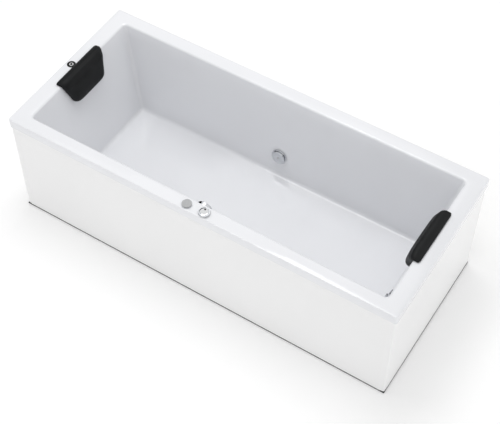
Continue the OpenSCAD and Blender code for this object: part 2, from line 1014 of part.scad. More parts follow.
module pump_impeller() {
    impeller_r = volute_r - volute_wall - vane_t;
    color("ivory")
        at_pump()
            translate([0, 0, volute_y + (volute_l - impeller_l) / 2])
                difference() {
                    union() {
                        cylinder(h = vane_t, r = impeller_r);
                        cylinder(h = impeller_l, r = shaft_r * 2);
                        curved_vanes(vane_count, shaft_r, impeller_r - cut, vane_t, impeller_l);
                    }
                    translate([0, 0, -cut])
                        cylinder(h = impeller_l + 2 * cut, r = shaft_r);
                }
}

module pump_fan() {
    color("ivory")
        at_pump()
            translate([0, 0, motor_front - bell_l - fan_room * 0.75])
                difference() {
                    union() {
                        cylinder(h = fan_l, r = shaft_r * 2);
                        translate([0, 0, fan_l - vane_t / 2])
                            cylinder(h = vane_t / 2, r = fan_r * 0.9);
                        curved_vanes(fan_blades, shaft_r, fan_r, vane_t / 2, fan_l);
                    }
                    translate([0, 0, -cut])
                        cylinder(h = fan_l + 2 * cut, r = shaft_r);
                }
}

main_route = [
    [main_left_x, main_start_y, axis_z + discharge_top],
    [main_left_x, main_start_y, main_z],
    [main_left_x, -side_line, main_z],
    [end_line, -side_line, main_z],
    [end_line, jet_end + pipe_end, main_z]];
module pressure_pipe() {
    color("whitesmoke")
        difference() {
            union() {
                pipe_run(main_route, main_bend, main_r);
                for (i = [0:5])
                    translate(jet_line(i, main_z))
                        cylinder(h = tee_rise, r = tee_r);
                translate([end_line, jet_end + pipe_end, main_z])
                    rotate([-90, 0, 0])
                        cylinder(h = chamber_wall, r = main_r + chamber_wall);
            }
            pipe_run(stretched([for (i = [0:3]) main_route[i],
                [end_line, jet_end + pipe_end - cut, main_z]]), main_bend, main_bore);
            for (i = [0:5])
                translate(jet_line(i, main_z))
                    cylinder(h = tee_rise + cut, r = stub_r + socket_gap);
        }
}

module jet_bodies() {
    tail = jet_chamber_front + jet_chamber_l;
    color("whitesmoke")
        for (i = [0:5])
            difference() {
                union() {
                    at_jet(i) {
                        translate([0, 0, seat + gasket_t])
                            cylinder(h = collar_t, r = collar_r);
                        translate([0, 0, -jet_chamber_front - cut])
                            cylinder(h = jet_chamber_front + seat + gasket_t + 2 * cut, r = jet_tube_r);
                        translate([0, 0, -tail])
                            cylinder(h = jet_chamber_l, r = jet_chamber_r);
                    }
                    translate(jet_line(i, main_z + tee_rise - tee_overlap))
                        cylinder(h = jet_middle(i).z - main_z - tee_rise + tee_overlap, r = stub_r);
                    translate(jet_middle(i))
                        cylinder(h = air_z - barb_drop + tee_overlap - jet_middle(i).z, r = barb_r);
                }
                at_jet(i)
                    translate([0, 0, -tail + chamber_wall])
                        cylinder(h = tail + 3 * gasket_t + collar_t, r = jet_bore_r);
                translate(jet_line(i, main_z + tee_rise - tee_overlap - cut))
                    cylinder(h = jet_middle(i).z - main_z - tee_rise + tee_overlap + cut, r = stub_bore);
                translate(jet_middle(i))
                    cylinder(h = air_z - barb_drop + tee_overlap - jet_middle(i).z + cut, r = barb_bore);
            }
}

module jet_ring(i) {
    color("silver")
        at_jet(i)
            difference() {
                union() {
                    translate([0, 0, -ring_tail])
                        cylinder(h = ring_tail + jet_face_z + jet_face_t / 2, r = jet_bore_r - running);
                    translate([0, 0, jet_face_z])
                        cylinder(h = jet_face_t / 2, r = jet_face_r);
                    translate([0, 0, jet_face_z + jet_face_t / 2])
                        cylinder(h = jet_face_t / 2, r1 = jet_face_r, r2 = jet_face_r * 0.84);
                }
                translate([0, 0, ball_z])
                    sphere(r = ball_r + ball_gap);
                translate([0, 0, -ring_tail - cut])
                    cylinder(h = ring_tail, r = inlet_r);
                for (k = [0:grip_count - 1])
                    rotate([0, 0, k * 360 / grip_count])
                        translate([jet_face_r + grip_r * 0.6, 0, jet_face_z - cut])
                            cylinder(h = jet_face_t + 2 * cut, r = grip_r);
            }
}

module jet_nozzle(i) {
    color("silver")
        at_jet(i)
            translate([0, 0, ball_z])
                difference() {
                    union() {
                        intersection() {
                            sphere(r = ball_r);
                            translate([-ball_r, -ball_r, -ball_tail])
                                cube([2 * ball_r, 2 * ball_r, ball_tail + ball_r - chamber_wall]);
                        }
                        cylinder(h = nose_l, r = nose_r);
                    }
                    translate([0, 0, -ball_r])
                        cylinder(h = 2 * ball_r + nose_l, r = nozzle_r);
                    translate([0, 0, nose_l - nozzle_r / 2])
                        cylinder(h = nozzle_r, r1 = nozzle_r, r2 = nose_r);
                }
}

module back_nut(r) {
    translate([0, 0, -shell_t - seat - nut_h])
        difference() {
            cylinder(h = nut_h, r = r * nut_wide, $fn = 8);
            translate([0, 0, -cut])
                cylinder(h = nut_h + 2 * cut, r = r + socket_gap);
        }
}

module fitting_nuts() {
    color("whitesmoke") {
        for (i = [0:5])
            at_jet(i)
                back_nut(jet_tube_r);
        for (x = [button_x, knob_x])
            translate([x, -control_y, bath_h - shell_t - seat - nut_h])
                ring(nut_h, control_nut_r, control_barrel_r + socket_gap);
    }
}

module fitting_gaskets() {
    color("black") {
        for (i = [0:5])
            at_jet(i)
                translate([0, 0, seat])
                    ring(gasket_t, collar_r - cut, jet_tube_r + socket_gap);
        at_wall("far", 0, suction_z)
            translate([0, 0, seat])
                ring(gasket_t, collar_r - cut, suction_tube_r + socket_gap);
        at_wall("near", 0, overflow_z)
            translate([0, 0, seat])
                ring(gasket_t, overflow_flange_r - cut, overflow_hole_r);
        translate([0, -waste_y, shell_low - seat - gasket_t])
            ring(gasket_t, drain_cup_r + chamber_wall, drain_hole_r);
    }
}

air_route = [
    [-jet_far - pipe_end, -side_line, air_z],
    [end_line, -side_line, air_z],
    [end_line, jet_end + pipe_end, air_z]];
riser_turn = 60;
riser_bend = 15;
riser_tee_r = 13;
riser_route = [
    [knob_x, -control_y, bath_h - control_l - air_stub_l + tee_overlap],
    [knob_x, -control_y, air_z + riser_turn],
    [knob_x, -side_line, air_z + riser_turn],
    [knob_x, -side_line, air_z + air_r + chamber_wall]];
module air_pipe() {
    color("lightgray") {
        difference() {
            union() {
                pipe_run(air_route, air_bend, air_r);
                for (i = [0:5])
                    translate(jet_line(i, air_z - barb_drop))
                        cylinder(h = barb_drop, r = barb_tee_r);
                translate([knob_x, -side_line, air_z])
                    cylinder(h = barb_drop, r = riser_tee_r);
            }
            pipe_run(inset_ends(air_route), air_bend, air_bore);
            for (i = [0:5])
                translate(jet_line(i, air_z - barb_drop - cut))
                    cylinder(h = barb_drop + cut, r = barb_r + socket_gap);
            translate([knob_x, -side_line, air_z + air_r + chamber_wall - seat])
                cylinder(h = barb_drop, r = air_r + socket_gap);
            translate([knob_x, -side_line, air_z])
                cylinder(h = barb_drop, r = air_bore - cut);
        }
        pipe_run(riser_route, riser_bend, air_r, air_bore);
    }
}

module air_regulator_body() {
    low = bath_h - control_l;
    color("whitesmoke")
        translate([knob_x, -control_y, 0])
            difference() {
                union() {
                    translate([0, 0, bath_h + seat])
                        cylinder(h = control_collar, r = knob_r - cut);
                    translate([0, 0, low])
                        cylinder(h = control_l + seat + control_collar / 2, r = control_barrel_r);
                    translate([0, 0, low - air_stub_l])
                        cylinder(h = air_stub_l + cut, r = air_stub_r);
                }
                translate([0, 0, low + control_floor])
                    cylinder(h = control_l + control_collar, r = plunger_r + running);
                translate([0, 0, low - air_stub_l - cut])
                    cylinder(h = air_stub_l + control_floor + 2 * cut, r = air_stub_r - pipe_wall);
                for (a = [0, 90])
                    rotate([0, 0, a])
                        translate([-control_barrel_r - cut, -spoke_w / 2, low + control_floor + spoke_h])
                            cube([2 * control_barrel_r + 2 * cut, spoke_w, spoke_h]);
            }
}

module air_knob() {
    base = bath_h + seat + control_collar + face_gap;
    color("silver")
        translate([knob_x, -control_y, base])
            difference() {
                union() {
                    cylinder(h = knob_h - knob_neck, r = knob_r);
                    translate([0, 0, knob_h - knob_neck])
                        cylinder(h = knob_neck, r1 = knob_r, r2 = knob_r - knob_neck);
                    translate([0, 0, -plunger_l])
                        cylinder(h = plunger_l + cut, r = plunger_r);
                }
                translate([0, 0, knob_h - knob_dish])
                    cylinder(h = knob_dish + cut, r1 = knob_r * 0.6, r2 = knob_r * 0.8);
                translate([0, 0, -plunger_l - cut])
                    cylinder(h = plunger_l, r = plunger_r - chamber_wall);
                for (k = [0:knob_grips - 1])
                    rotate([0, 0, k * 360 / knob_grips])
                        translate([knob_r + knob_neck / 2, 0, knob_neck])
                            cylinder(h = knob_h - 3 * knob_neck, r = knob_neck * 1.5);
            }
}

button_low = bath_h - control_l;
cap_low = bath_h + seat + button_floor + button_travel + seat;
module button_body() {
    color("gainsboro")
        translate([button_x, -control_y, 0])
            difference() {
                union() {
                    translate([0, 0, bath_h + seat])
                        cylinder(h = button_lip, r = button_r);
                    translate([0, 0, button_low])
                        cylinder(h = control_l + seat + button_lip / 2, r = control_barrel_r);
                    translate([0, 0, button_low - button_barb])
                        cylinder(h = button_barb + cut, r = button_tube_r - cut);
                }
                translate([0, 0, bath_h + seat + button_floor])
                    cylinder(h = button_lip + cut, r = button_cap_r + ball_gap);
                translate([0, 0, button_low + control_floor])
                    cylinder(h = control_l + cut, r = plunger_r + running);
                translate([0, 0, button_low - button_barb - cut])
                    cylinder(h = button_barb + control_floor + 2 * cut, r = cut);
            }
}

module button_cap() {
    color("silver")
        translate([button_x, -control_y, cap_low])
            union() {
                cylinder(h = button_cap_t - knob_neck, r = button_cap_r);
                translate([0, 0, button_cap_t - knob_neck])
                    cylinder(h = knob_neck, r1 = button_cap_r, r2 = button_cap_r - knob_neck);
                translate([0, 0, -plunger_l])
                    cylinder(h = plunger_l + cut, r = plunger_r);
            }
}

// The spring between the button's plunger and the floor of its barrel
spring_low = button_low + control_floor + spring_wire + seat;
spring_high = cap_low - plunger_l - spring_wire - seat;
spring_steps = 14;
spring_sides = 6;
echo(least_gap_in_spring = (spring_high - spring_low) / spring_turns - 2 * spring_wire);
function coil_ring(k) = let (a = k * 360 / spring_steps,
    z = spring_low + (spring_high - spring_low) * k / (spring_turns * spring_steps))
    [for (j = [0:spring_sides - 1]) let (b = j * 360 / spring_sides,
        r = spring_r + spring_wire * cos(b))
        [button_x + r * cos(a), -control_y + r * sin(a), z + spring_wire * sin(b)]];
module button_spring() {
    rings = spring_turns * spring_steps;
    n = spring_sides;
    color("silver")
        polyhedron(
            points = [for (k = [0:rings]) each coil_ring(k)],
            faces = [
                [for (j = [0:n - 1]) j],
                [for (j = [n - 1:-1:0]) rings * n + j],
                for (k = [0:rings - 1], j = [0:n - 1], half = [0, 1])
                    half == 0 ? [k * n + j, (k + 1) * n + (j + 1) % n, k * n + (j + 1) % n]
                    : [k * n + j, (k + 1) * n + j, (k + 1) * n + (j + 1) % n]]);
}

// The button's air tube and the pull cable of the waste
tube_bend = 9;
tube_drop = 95;
tube_in = 49;
tube_clear = 30;
tube_up = 120;
tube_level = bath_h - tube_drop;
tube_y = bath_w / 2 - tube_in;
tube_turn_x = pump_at - tube_clear;
tube_cross_z = floor_z + tube_up;
tube_box_y = box_y + box_l / 3;
tube_route = [
    [button_x, -control_y, button_low - button_barb / 2],
    [button_x, -control_y, tube_level],
    [button_x, -tube_y, tube_level],
    [-tube_turn_x, -tube_y, tube_level],
    [-tube_turn_x, -tube_y, tube_cross_z],
    [-tube_turn_x, tube_box_y, tube_cross_z],
    [-tube_turn_x, tube_box_y, axis_z + motor_r + box_h]];
cable_route = [
    [cable_x, -overflow_y, overflow_line_z - overflow_chamber_r + 2 * chamber_wall],
    [cable_x, -overflow_y, cable_low],
    [cable_x, -waste_y - drain_cup_r + 2 * chamber_wall, cable_low]];
module control_lines() {
    color("lightgray") {
        pipe_run(tube_route, tube_bend, button_tube_r, button_tube_r - cut + socket_gap / 2);
        pipe_run(cable_route, cable_bend, cable_r);
    }
}

module overflow_body() {
    tail = overflow_depth + overflow_chamber_l / 2;
    back = shell_t + seat;
    color("whitesmoke") {
        difference() {
            union() {
                at_wall("near", 0, overflow_z)
                    translate([0, 0, -tail])
                        cylinder(h = tail - back, r = overflow_chamber_r);
                translate([0, -overflow_y, overflow_line_z - overflow_chamber_r - hose_r])
                    cylinder(h = overflow_chamber_r + hose_r, r = hose_bore - socket_gap);
            }
            at_wall("near", 0, overflow_z)
                translate([0, 0, -tail + chamber_wall])
                    cylinder(h = tail, r = overflow_sleeve_r + socket_gap);
            translate([0, -overflow_y, overflow_line_z - overflow_chamber_r - hose_r - cut])
                cylinder(h = overflow_chamber_r + hose_r + cut, r = hose_bore - chamber_wall);
            translate([cable_x, -overflow_y, overflow_line_z - overflow_chamber_r - cut])
                cylinder(h = overflow_chamber_r, r = cable_r + socket_gap);
        }
        at_wall("near", 0, overflow_z)
            difference() {
                union() {
                    translate([0, 0, seat + gasket_t])
                        cylinder(h = collar_t, r = overflow_flange_r);
                    translate([0, 0, -jet_chamber_front])
                        cylinder(h = jet_chamber_front + collar_front - cut, r = overflow_sleeve_r);
                }
                difference() {
                    translate([0, 0, -jet_chamber_front - cut])
                        cylinder(h = 2 * jet_chamber_front, r = overflow_sleeve_r - chamber_wall);
                    translate([0, 0, -jet_chamber_front])
                        cylinder(h = jet_chamber_front, r = overflow_shaft_r + chamber_wall);
                    translate([0, 0, -jet_chamber_front / 2])
                        spokes(overflow_sleeve_r);
                }
                translate([0, 0, -jet_chamber_front - cut])
                    cylinder(h = 2 * jet_chamber_front, r = overflow_shaft_r + running);
            }
    }
}

module overflow_knob() {
    skirt = overflow_stand - knob_skirt;
    color("silver")
        at_wall("near", 0, overflow_z)
            union() {
                difference() {
                    union() {
                        translate([0, 0, skirt])
                            cylinder(h = knob_skirt - cover_t, r = overflow_r);
                        translate([0, 0, overflow_stand - cover_t])
                            cylinder(h = cover_t, r1 = overflow_r, r2 = overflow_r - cover_t);
                    }
                    translate([0, 0, skirt - cut])
                        cylinder(h = knob_skirt - knob_wall + cut, r = overflow_r - knob_wall);
                    for (k = [-1, 1])
                        translate([k * (overflow_r + grip_r), 0, skirt - cut])
                            cylinder(h = knob_skirt + 2 * cut, r = grip_r * 2);
                }
                translate([0, 0, -jet_chamber_front - chamber_wall])
                    cylinder(h = overflow_stand + jet_chamber_front, r = overflow_shaft_r);
            }
}

hose_in_y = waste_y + drain_cup_r + hose_r;
hose_route = [
    [0, -overflow_y, overflow_line_z - overflow_chamber_r - chamber_wall],
    [0, -overflow_y, hose_low],
    [0, -hose_in_y + hose_r, hose_low]];
module waste_pipes() {
    color("whitesmoke") {
        pipe_run(hose_route, hose_bend, hose_r, hose_bore);
        difference() {
            union() {
                translate([0, -waste_y, trap_low])
                    cylinder(h = trap_top - trap_low, r = trap_r);
                translate([0, -waste_y, outlet_z])
                    rotate([-90, 0, 0])
                        cylinder(h = waste_y + outlet_y - cut, r = waste_r - spigot_step);
                translate([0, outlet_y - spigot_l, outlet_z])
                    rotate([-90, 0, 0])
                        cylinder(h = spigot_l, r = waste_r);
            }
            translate([0, -waste_y, trap_low + trap_wall])
                cylinder(h = trap_top - trap_low - 2 * trap_wall, r = trap_r - trap_wall);
            translate([0, -waste_y, trap_top - 2 * trap_wall])
                cylinder(h = 4 * trap_wall, r = tail_r + socket_gap);
            translate([0, -waste_y, outlet_z])
                rotate([-90, 0, 0])
                    cylinder(h = waste_y + outlet_y + cut, r = waste_r - outlet_wall);
        }
    }
}

module spokes(r) {
    for (a = [0, 60, 120])
        rotate([0, 0, a])
            translate([-r, -spoke_w / 2, 0])
                cube([2 * r, spoke_w, spoke_h]);
}

module drain_flange() {
    sleeve_low = -drain_sleeve_l;
    color("silver")
        translate([0, -waste_y, floor_z])
            difference() {
                union() {
                    translate([0, 0, seat]) {
                        ring(control_collar / 2, drain_r, drain_bore);
                        translate([0, 0, control_collar / 2])
                            difference() {
                                cylinder(h = control_collar / 2,
                                    r1 = drain_r, r2 = drain_r - control_collar);
                                translate([0, 0, -cut])
                                    cylinder(h = 3 * cut, r = drain_bore);
                            }
                    }
                    translate([0, 0, sleeve_low])
                        ring(drain_sleeve_l + seat + cut / 2, drain_sleeve_r, drain_bore);
                    translate([0, 0, sleeve_low + spoke_h])
                        spokes(drain_bore + cut);
                    translate([0, 0, sleeve_low])
                        cylinder(h = 3 * spoke_h, r = hub_r);
                }
                translate([0, 0, sleeve_low - cut])
                    cylinder(h = drain_sleeve_l, r = stem_r + running);
            }
}

module drain_body() {
    top = shell_low - seat - gasket_t;
    color("whitesmoke")
        difference() {
            union() {
                translate([0, -waste_y, drain_cup_low])
                    cylinder(h = top - drain_cup_low, r = drain_cup_r);
                translate([0, -waste_y, top - chamber_wall])
                    cylinder(h = chamber_wall, r = drain_cup_r + chamber_wall);
                translate([0, -waste_y, trap_top - trap_wall])
                    cylinder(h = drain_cup_low - trap_top + 2 * trap_wall, r = tail_r);
                translate([0, -waste_y, hose_low])
                    rotate([90, 0, 0])
                        cylinder(h = drain_cup_r + 2 * hose_r, r = hose_bore - socket_gap);
            }
            translate([0, -waste_y, drain_cup_low + chamber_wall])
                cylinder(h = top, r = drain_sleeve_r + socket_gap);
            translate([0, -waste_y, trap_top - trap_wall - cut])
                cylinder(h = drain_cup_low, r = tail_r - chamber_wall);
            translate([0, -waste_y, hose_low])
                rotate([90, 0, 0])
                    cylinder(h = drain_cup_r + 2 * hose_r + cut, r = hose_bore - chamber_wall);
            translate([cable_x, -waste_y, cable_low])
                rotate([90, 0, 0])
                    cylinder(h = drain_cup_r + cut, r = cable_r + socket_gap);
        }
}

module drain_plug() {
    base = floor_z + seat + control_collar + face_gap;
    color("silver")
        translate([0, -waste_y, base])
            union() {
                cylinder(h = plug_t / 2, r = plug_r);
                translate([0, 0, plug_t / 2])
                    cylinder(h = plug_t / 4, r1 = plug_r, r2 = plug_r * 0.9);
                translate([0, 0, plug_t * 3 / 4])
                    cylinder(h = plug_t / 4, r1 = plug_r * 0.9, r2 = plug_r * 0.66);
                translate([0, 0, -stem_l])
                    cylinder(h = stem_l + cut, r = stem_r);
            }
}

// The headrest follows the rim for the flap's width and then the end wall.
// Its back lies on that path, and its front stands off it by a crowned thickness.
pad_length = pad_flap + pad_drop;
function pad_tilt(a) = (90 - end_a) * smooth((a - pad_flap + pad_fold) / (2 * pad_fold));
function pad_back(a) = a < pad_flap
    ? [wall_x(bath_h) + pad_flap - a, bath_h]
    : [wall_x(bath_h) - (a - pad_flap) * sin(end_a), bath_h - (a - pad_flap) * cos(end_a)];
function pad_out(a) = [-sin(pad_tilt(a)), cos(pad_tilt(a))];
function corner_in(d, r) = d >= r ? 0 : r - sqrt(r * r - (r - d) * (r - d));
function pad_half(a) =
    (pad_top_w + (pad_low_w - pad_top_w) * max(0, a - pad_flap) / pad_drop) / 2
    - corner_in(a, pad_top_r) - corner_in(pad_length - a, pad_low_r)
    - pad_draw * sin(180 * a / pad_length);
function pad_thick(a) = flap_t + (pad_t - flap_t) * smooth(a / (pad_flap + pad_fold));
function rounded(t, power) = sqrt(max(0, 1 - pow(abs(t), power)));
function pad_row(i) = i <= pad_fold_row
    ? pad_flap * (1 - cos(90 * i / pad_fold_row))
    : pad_flap + pad_drop * sin(90 * pow((i - pad_fold_row) / (pad_rows - pad_fold_row), 0.9));
function pad_column(j) = sin(90 * (2 * j / pad_columns - 1));
function pad_point(i, j, front) = let (a = pad_row(i), t = pad_column(j),
    crown = rounded(t, 8) * rounded(2 * a / pad_length - 1, 7),
    h = front ? pad_edge + (pad_thick(a) - pad_edge) * crown : pad_gap,
    p = pad_back(a) + h * pad_out(a))
    [p.x, pad_shift + t * pad_half(a), p.y];
module headrest() {
    rows = pad_rows;
    cols = pad_columns;
    n = 2 * (rows + 1);
    function loop_i(k) = k <= rows ? k : 2 * rows + 1 - k;
    polyhedron(
        points = [for (j = [0:cols], k = [0:n - 1]) pad_point(loop_i(k), j, k > rows)],
        faces = [
            for (j = [0:cols - 1], k = [0:n - 1], half = [0, 1])
                let (a = j * n + k, b = j * n + (k + 1) % n, c = a + n, d = b + n)
                    half == 0 ? [a, c, b] : [b, c, d],
            for (j = [0, cols], k = [0:rows - 1], half = [0, 1])
                let (a = j * n + k, b = a + 1, c = j * n + n - 1 - k, d = c - 1,
                    f = half == 0 ? [a, b, c] : [b, d, c])
                    j == 0 ? f : [f[2], f[1], f[0]]]);
}

module headrest_left() {
    color("black")
        mirror([1, 0, 0])
            headrest();
}

module headrest_right() {
    color("black")
        headrest();
}

// The suction cup on the rim behind the left headrest, with its lifting knob
module headrest_cup() {
    color("dimgray")
        translate([-wall_x(bath_h) - pad_flap - cup_r - pad_gap, cup_shift, bath_h + pad_gap]) {
            difference() {
                cylinder(h = cup_t, r1 = cup_r, r2 = cup_r * 0.8);
                translate([0, 0, cup_t / 2])
                    cylinder(h = cup_t, r = cup_r * 0.55);
            }
            cylinder(h = 2 * cup_t, r = cup_neck_r);
        }
}

tub_shell();
base_board();
rim_battens();
frame_rails();
frame_uprights();
lock_nuts();
for (i = [0:3])
    foot(i);
front_panel();
left_end_panel();
right_end_panel();
corner_strips();
panel_clips();
suction_cover();
suction_body();
suction_pipe();
pump_motor();
pump_volute();
pump_fan_cover();
pump_terminal_box();
pump_tray();
pump_mounts();
pump_shaft();
pump_impeller();
pump_fan();
pressure_pipe();
jet_bodies();
for (i = [0:5])
    jet_ring(i);
for (i = [0:5])
    jet_nozzle(i);
fitting_nuts();
fitting_gaskets();
air_pipe();
air_regulator_body();
air_knob();
button_body();
button_cap();
button_spring();
control_lines();
overflow_body();
overflow_knob();
waste_pipes();
drain_flange();
drain_body();
drain_plug();
headrest_left();
headrest_right();
headrest_cup();
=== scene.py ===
import json
import math

import bmesh
import bpy
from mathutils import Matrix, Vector
from mathutils.bvhtree import BVHTree


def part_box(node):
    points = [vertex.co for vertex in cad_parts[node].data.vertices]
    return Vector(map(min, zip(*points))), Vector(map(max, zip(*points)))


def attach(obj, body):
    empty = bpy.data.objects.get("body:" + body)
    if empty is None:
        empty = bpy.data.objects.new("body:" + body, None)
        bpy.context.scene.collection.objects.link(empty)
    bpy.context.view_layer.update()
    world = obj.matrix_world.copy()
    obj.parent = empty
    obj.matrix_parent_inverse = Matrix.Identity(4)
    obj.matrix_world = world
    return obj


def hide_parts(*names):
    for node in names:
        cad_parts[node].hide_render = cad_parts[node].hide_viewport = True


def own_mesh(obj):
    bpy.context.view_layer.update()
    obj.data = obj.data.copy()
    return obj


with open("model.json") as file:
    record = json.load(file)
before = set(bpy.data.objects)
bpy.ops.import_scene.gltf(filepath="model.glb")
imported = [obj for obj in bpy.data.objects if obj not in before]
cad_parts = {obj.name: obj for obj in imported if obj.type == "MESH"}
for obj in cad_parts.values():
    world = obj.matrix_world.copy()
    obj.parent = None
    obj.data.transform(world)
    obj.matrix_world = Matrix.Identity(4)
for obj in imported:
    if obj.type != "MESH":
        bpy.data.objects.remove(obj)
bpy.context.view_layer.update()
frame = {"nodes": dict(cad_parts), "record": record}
cad = frame["nodes"]
slot_of = {part["node"]: part["material_slot"] for part in frame["record"]["subparts"]}
scene = bpy.context.scene

MM = 0.001

# Sizes of the bath that the dressed pieces follow
RIM_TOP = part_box("tub_shell")[1].z
HALF_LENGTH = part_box("tub_shell")[1].x
HALF_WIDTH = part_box("tub_shell")[1].y
RIM_END_WIDTH = 70 * MM
RIM_SIDE_WIDTH = 60 * MM
BASIN_DEPTH = 425 * MM
END_RUN = 96 * MM
SIDE_RUN = 54 * MM
WALL_END_X = HALF_LENGTH - RIM_END_WIDTH
END_LEAN = math.atan(END_RUN / BASIN_DEPTH)
SIDE_LEAN = math.atan(SIDE_RUN / BASIN_DEPTH)


# Nodes and materials

def linear(code):
    """An sRGB hex colour as a linear RGBA value."""
    parts = [int(code[i:i + 2], 16) / 255 for i in (1, 3, 5)]
    return (*[p / 12.92 if p <= 0.04045 else ((p + 0.055) / 1.055) ** 2.4 for p in parts], 1.0)


def feed(tree, node, inputs):
    """Sets sockets to plain values, or links them to an output, a node's first output or a list of them."""
    for key, value in inputs.items():
        for source in value if isinstance(value, list) else [value]:
            if isinstance(source, bpy.types.Node):
                source = source.outputs[0]
            if isinstance(source, bpy.types.NodeSocket):
                tree.links.new(source, node.inputs[key])
            else:
                node.inputs[key].default_value = source


def add(tree, kind, inputs=None, stops=(), **settings):
    """Adds a node with its sockets and settings, and a colour ramp's stops as places and hex colours."""
    node = tree.nodes.new(kind)
    for name, value in settings.items():
        setattr(node, name, value)
    for number, (place, code) in enumerate(stops):
        node.color_ramp.elements[number].position = place
        node.color_ramp.elements[number].color = linear(code)
    feed(tree, node, inputs or {})
    return node


def surface(name, **sockets):
    """A material with one Principled surface, its constant sockets set by name."""
    made = bpy.data.materials.new(name)
    made.use_nodes = True
    shader = made.node_tree.nodes["Principled BSDF"]
    feed(made.node_tree, shader, {key.replace("_", " "): value for key, value in sockets.items()})
    return made, made.node_tree, shader


NOISE = "ShaderNodeTexNoise"
CELLS = "ShaderNodeTexVoronoi"


def patterned(name, patterns, colour, rough=None, relief=None, **sockets):
    """A surface whose colour, roughness and relief follow patterns over the piece.

    Each pattern has a texture's kind, the real size of its grain, its other sockets and, where it is
    turned or drawn out, those of its Mapping. A list of them gives the highest at each point. colour is
    a pattern's name with two stops, rough one with a range, and relief one with a strength and a depth.
    """
    made, tree, shader = surface(name, **sockets)
    where = add(tree, "ShaderNodeTexCoord").outputs["Object"]
    drawn = {}
    for key, layers in patterns.items():
        for kind, grain, inputs, *placed in layers if isinstance(layers, list) else [layers]:
            place = add(tree, "ShaderNodeMapping", dict(placed[0], Vector=where)) if placed else where
            layer = add(tree, kind, dict(inputs, Vector=place, Scale=1 / grain))
            if key in drawn:
                layer = add(tree, "ShaderNodeMath", {0: drawn[key], 1: layer}, operation="MAXIMUM")
            drawn[key] = layer
    key, *stops = colour
    feed(tree, shader, {"Base Color": add(tree, "ShaderNodeValToRGB", {"Fac": drawn[key]}, stops)})
    if rough:
        key, low, high = rough
        feed(tree, shader, {"Roughness": add(tree, "ShaderNodeMapRange", {
            "Value": drawn[key], "To Min": low, "To Max": high})})
    if relief:
        key, strength, depth = relief
        feed(tree, shader, {"Normal": add(tree, "ShaderNodeBump", {
            "Height": drawn[key], "Strength": strength, "Distance": depth})})
    return made


def sanitary_acrylic():
    # Vacuum-formed PMMA, polished: hard white gloss, a faint draw waviness from the mould
    return patterned("sanitary_acrylic",
                     {"cloud": (NOISE, 333 * MM, {"Detail": 2.0}),
                      "waves": (NOISE, 71 * MM, {"Detail": 1.0})},
                     colour=("cloud", (0.3, "#E6E7EA"), (0.7, "#E9EAED")),
                     relief=("waves", 0.05, 1.5 * MM),
                     Roughness=0.1, IOR=1.49, Coat_Weight=0.35, Coat_Roughness=0.03)


def glass_fibre_back():
    # Chopped glass mat in polyester resin, rolled on by hand: milky, matt, with crossed strands that
    # are drawn about 2 mm wide and 40 mm long, because the real ones are too fine to show
    turns = ((0.4, 0.2, 0.9), (1.3, 0.8, 2.2), (2.2, 1.7, 0.3), (0.9, 2.4, 1.5), (2.8, 1.2, 2.7))
    return patterned("glass_fibre_back",
                     {"mat": [(NOISE, 2.1 * MM, {"Detail": 1.0},
                               {"Rotation": turn, "Scale": (1.0, 0.05, 0.05)}) for turn in turns]},
                     colour=("mat", (0.56, "#CBCDC8"), (0.78, "#E2E4DF")),
                     relief=("mat", 0.5, 0.5 * MM),
                     Roughness=0.55, IOR=1.5)


def panel_acrylic():
    # ABS-backed acrylic sheet, pressed flat: satin white, very faint orange peel
    return patterned("panel_acrylic",
                     {"cloud": (NOISE, 500 * MM, {"Detail": 2.0}),
                      "peel": (NOISE, 3.1 * MM, {"Detail": 1.0})},
                     colour=("cloud", (0.3, "#EEEEEE"), (0.7, "#F1F1F1")),
                     relief=("peel", 0.06, 0.3 * MM),
                     Roughness=0.28, IOR=1.49, Coat_Weight=0.15, Coat_Roughness=0.12)


def chrome_plate():
    # Decorative chrome on brass or ABS, polished: mirror-like with a cold tint and a few soft wipe marks
    return patterned("chrome_plate", {"wipes": (NOISE, 17 * MM, {"Detail": 3.0})},
                     colour=("wipes", (0.3, "#C2C4C8"), (0.7, "#CFD1D4")),
                     rough=("wipes", 0.05, 0.12), Metallic=1.0)


def satin_plate(name, low, high):
    # Satin-plated cap: soft grey metal, its blasted grain drawn coarse enough to blur the reflection
    return patterned(name, {"grain": (NOISE, 1.1 * MM, {"Detail": 2.0})},
                     colour=("grain", (0.35, low), (0.65, high)),
                     rough=("grain", 0.42, 0.54), Metallic=0.25)


def moulded_plastic(name, low, high, smoothest, grit=2.0 * MM, strength=0.12):
    # Injection-moulded thermoplastic: even colour, with its spark-eroded texture drawn coarse enough to show
    return patterned(name,
                     {"cloud": (NOISE, 56 * MM, {"Detail": 3.0}), "spark": (NOISE, grit, {"Detail": 2.0})},
                     colour=("cloud", (0.3, low), (0.7, high)),
                     rough=("cloud", smoothest, smoothest + 0.1),
                     relief=("spark", strength, 0.25 * MM), IOR=1.5)


def powder_coat():
    # Polyester powder coat on steel tube: mid grey, orange peel of a few millimetres
    return patterned("grey_powder_coat",
                     {"dust": (NOISE, 110 * MM, {"Detail": 4.0}),
                      "peel": (NOISE, 2.4 * MM, {"Detail": 2.0})},
                     colour=("dust", (0.3, "#5C6064"), (0.72, "#6E7276")),
                     relief=("peel", 0.25, 0.3 * MM),
                     Roughness=0.42, IOR=1.5)


def zinc_plate():
    # Zinc-plated steel: bluish silver with blotchy passivation
    return patterned("zinc_plate", {"blotch": (NOISE, 14 * MM, {"Detail": 4.0})},
                     colour=("blotch", (0.3, "#A9AFB6"), (0.7, "#CDCFCB")),
                     rough=("blotch", 0.28, 0.45), Metallic=1.0)


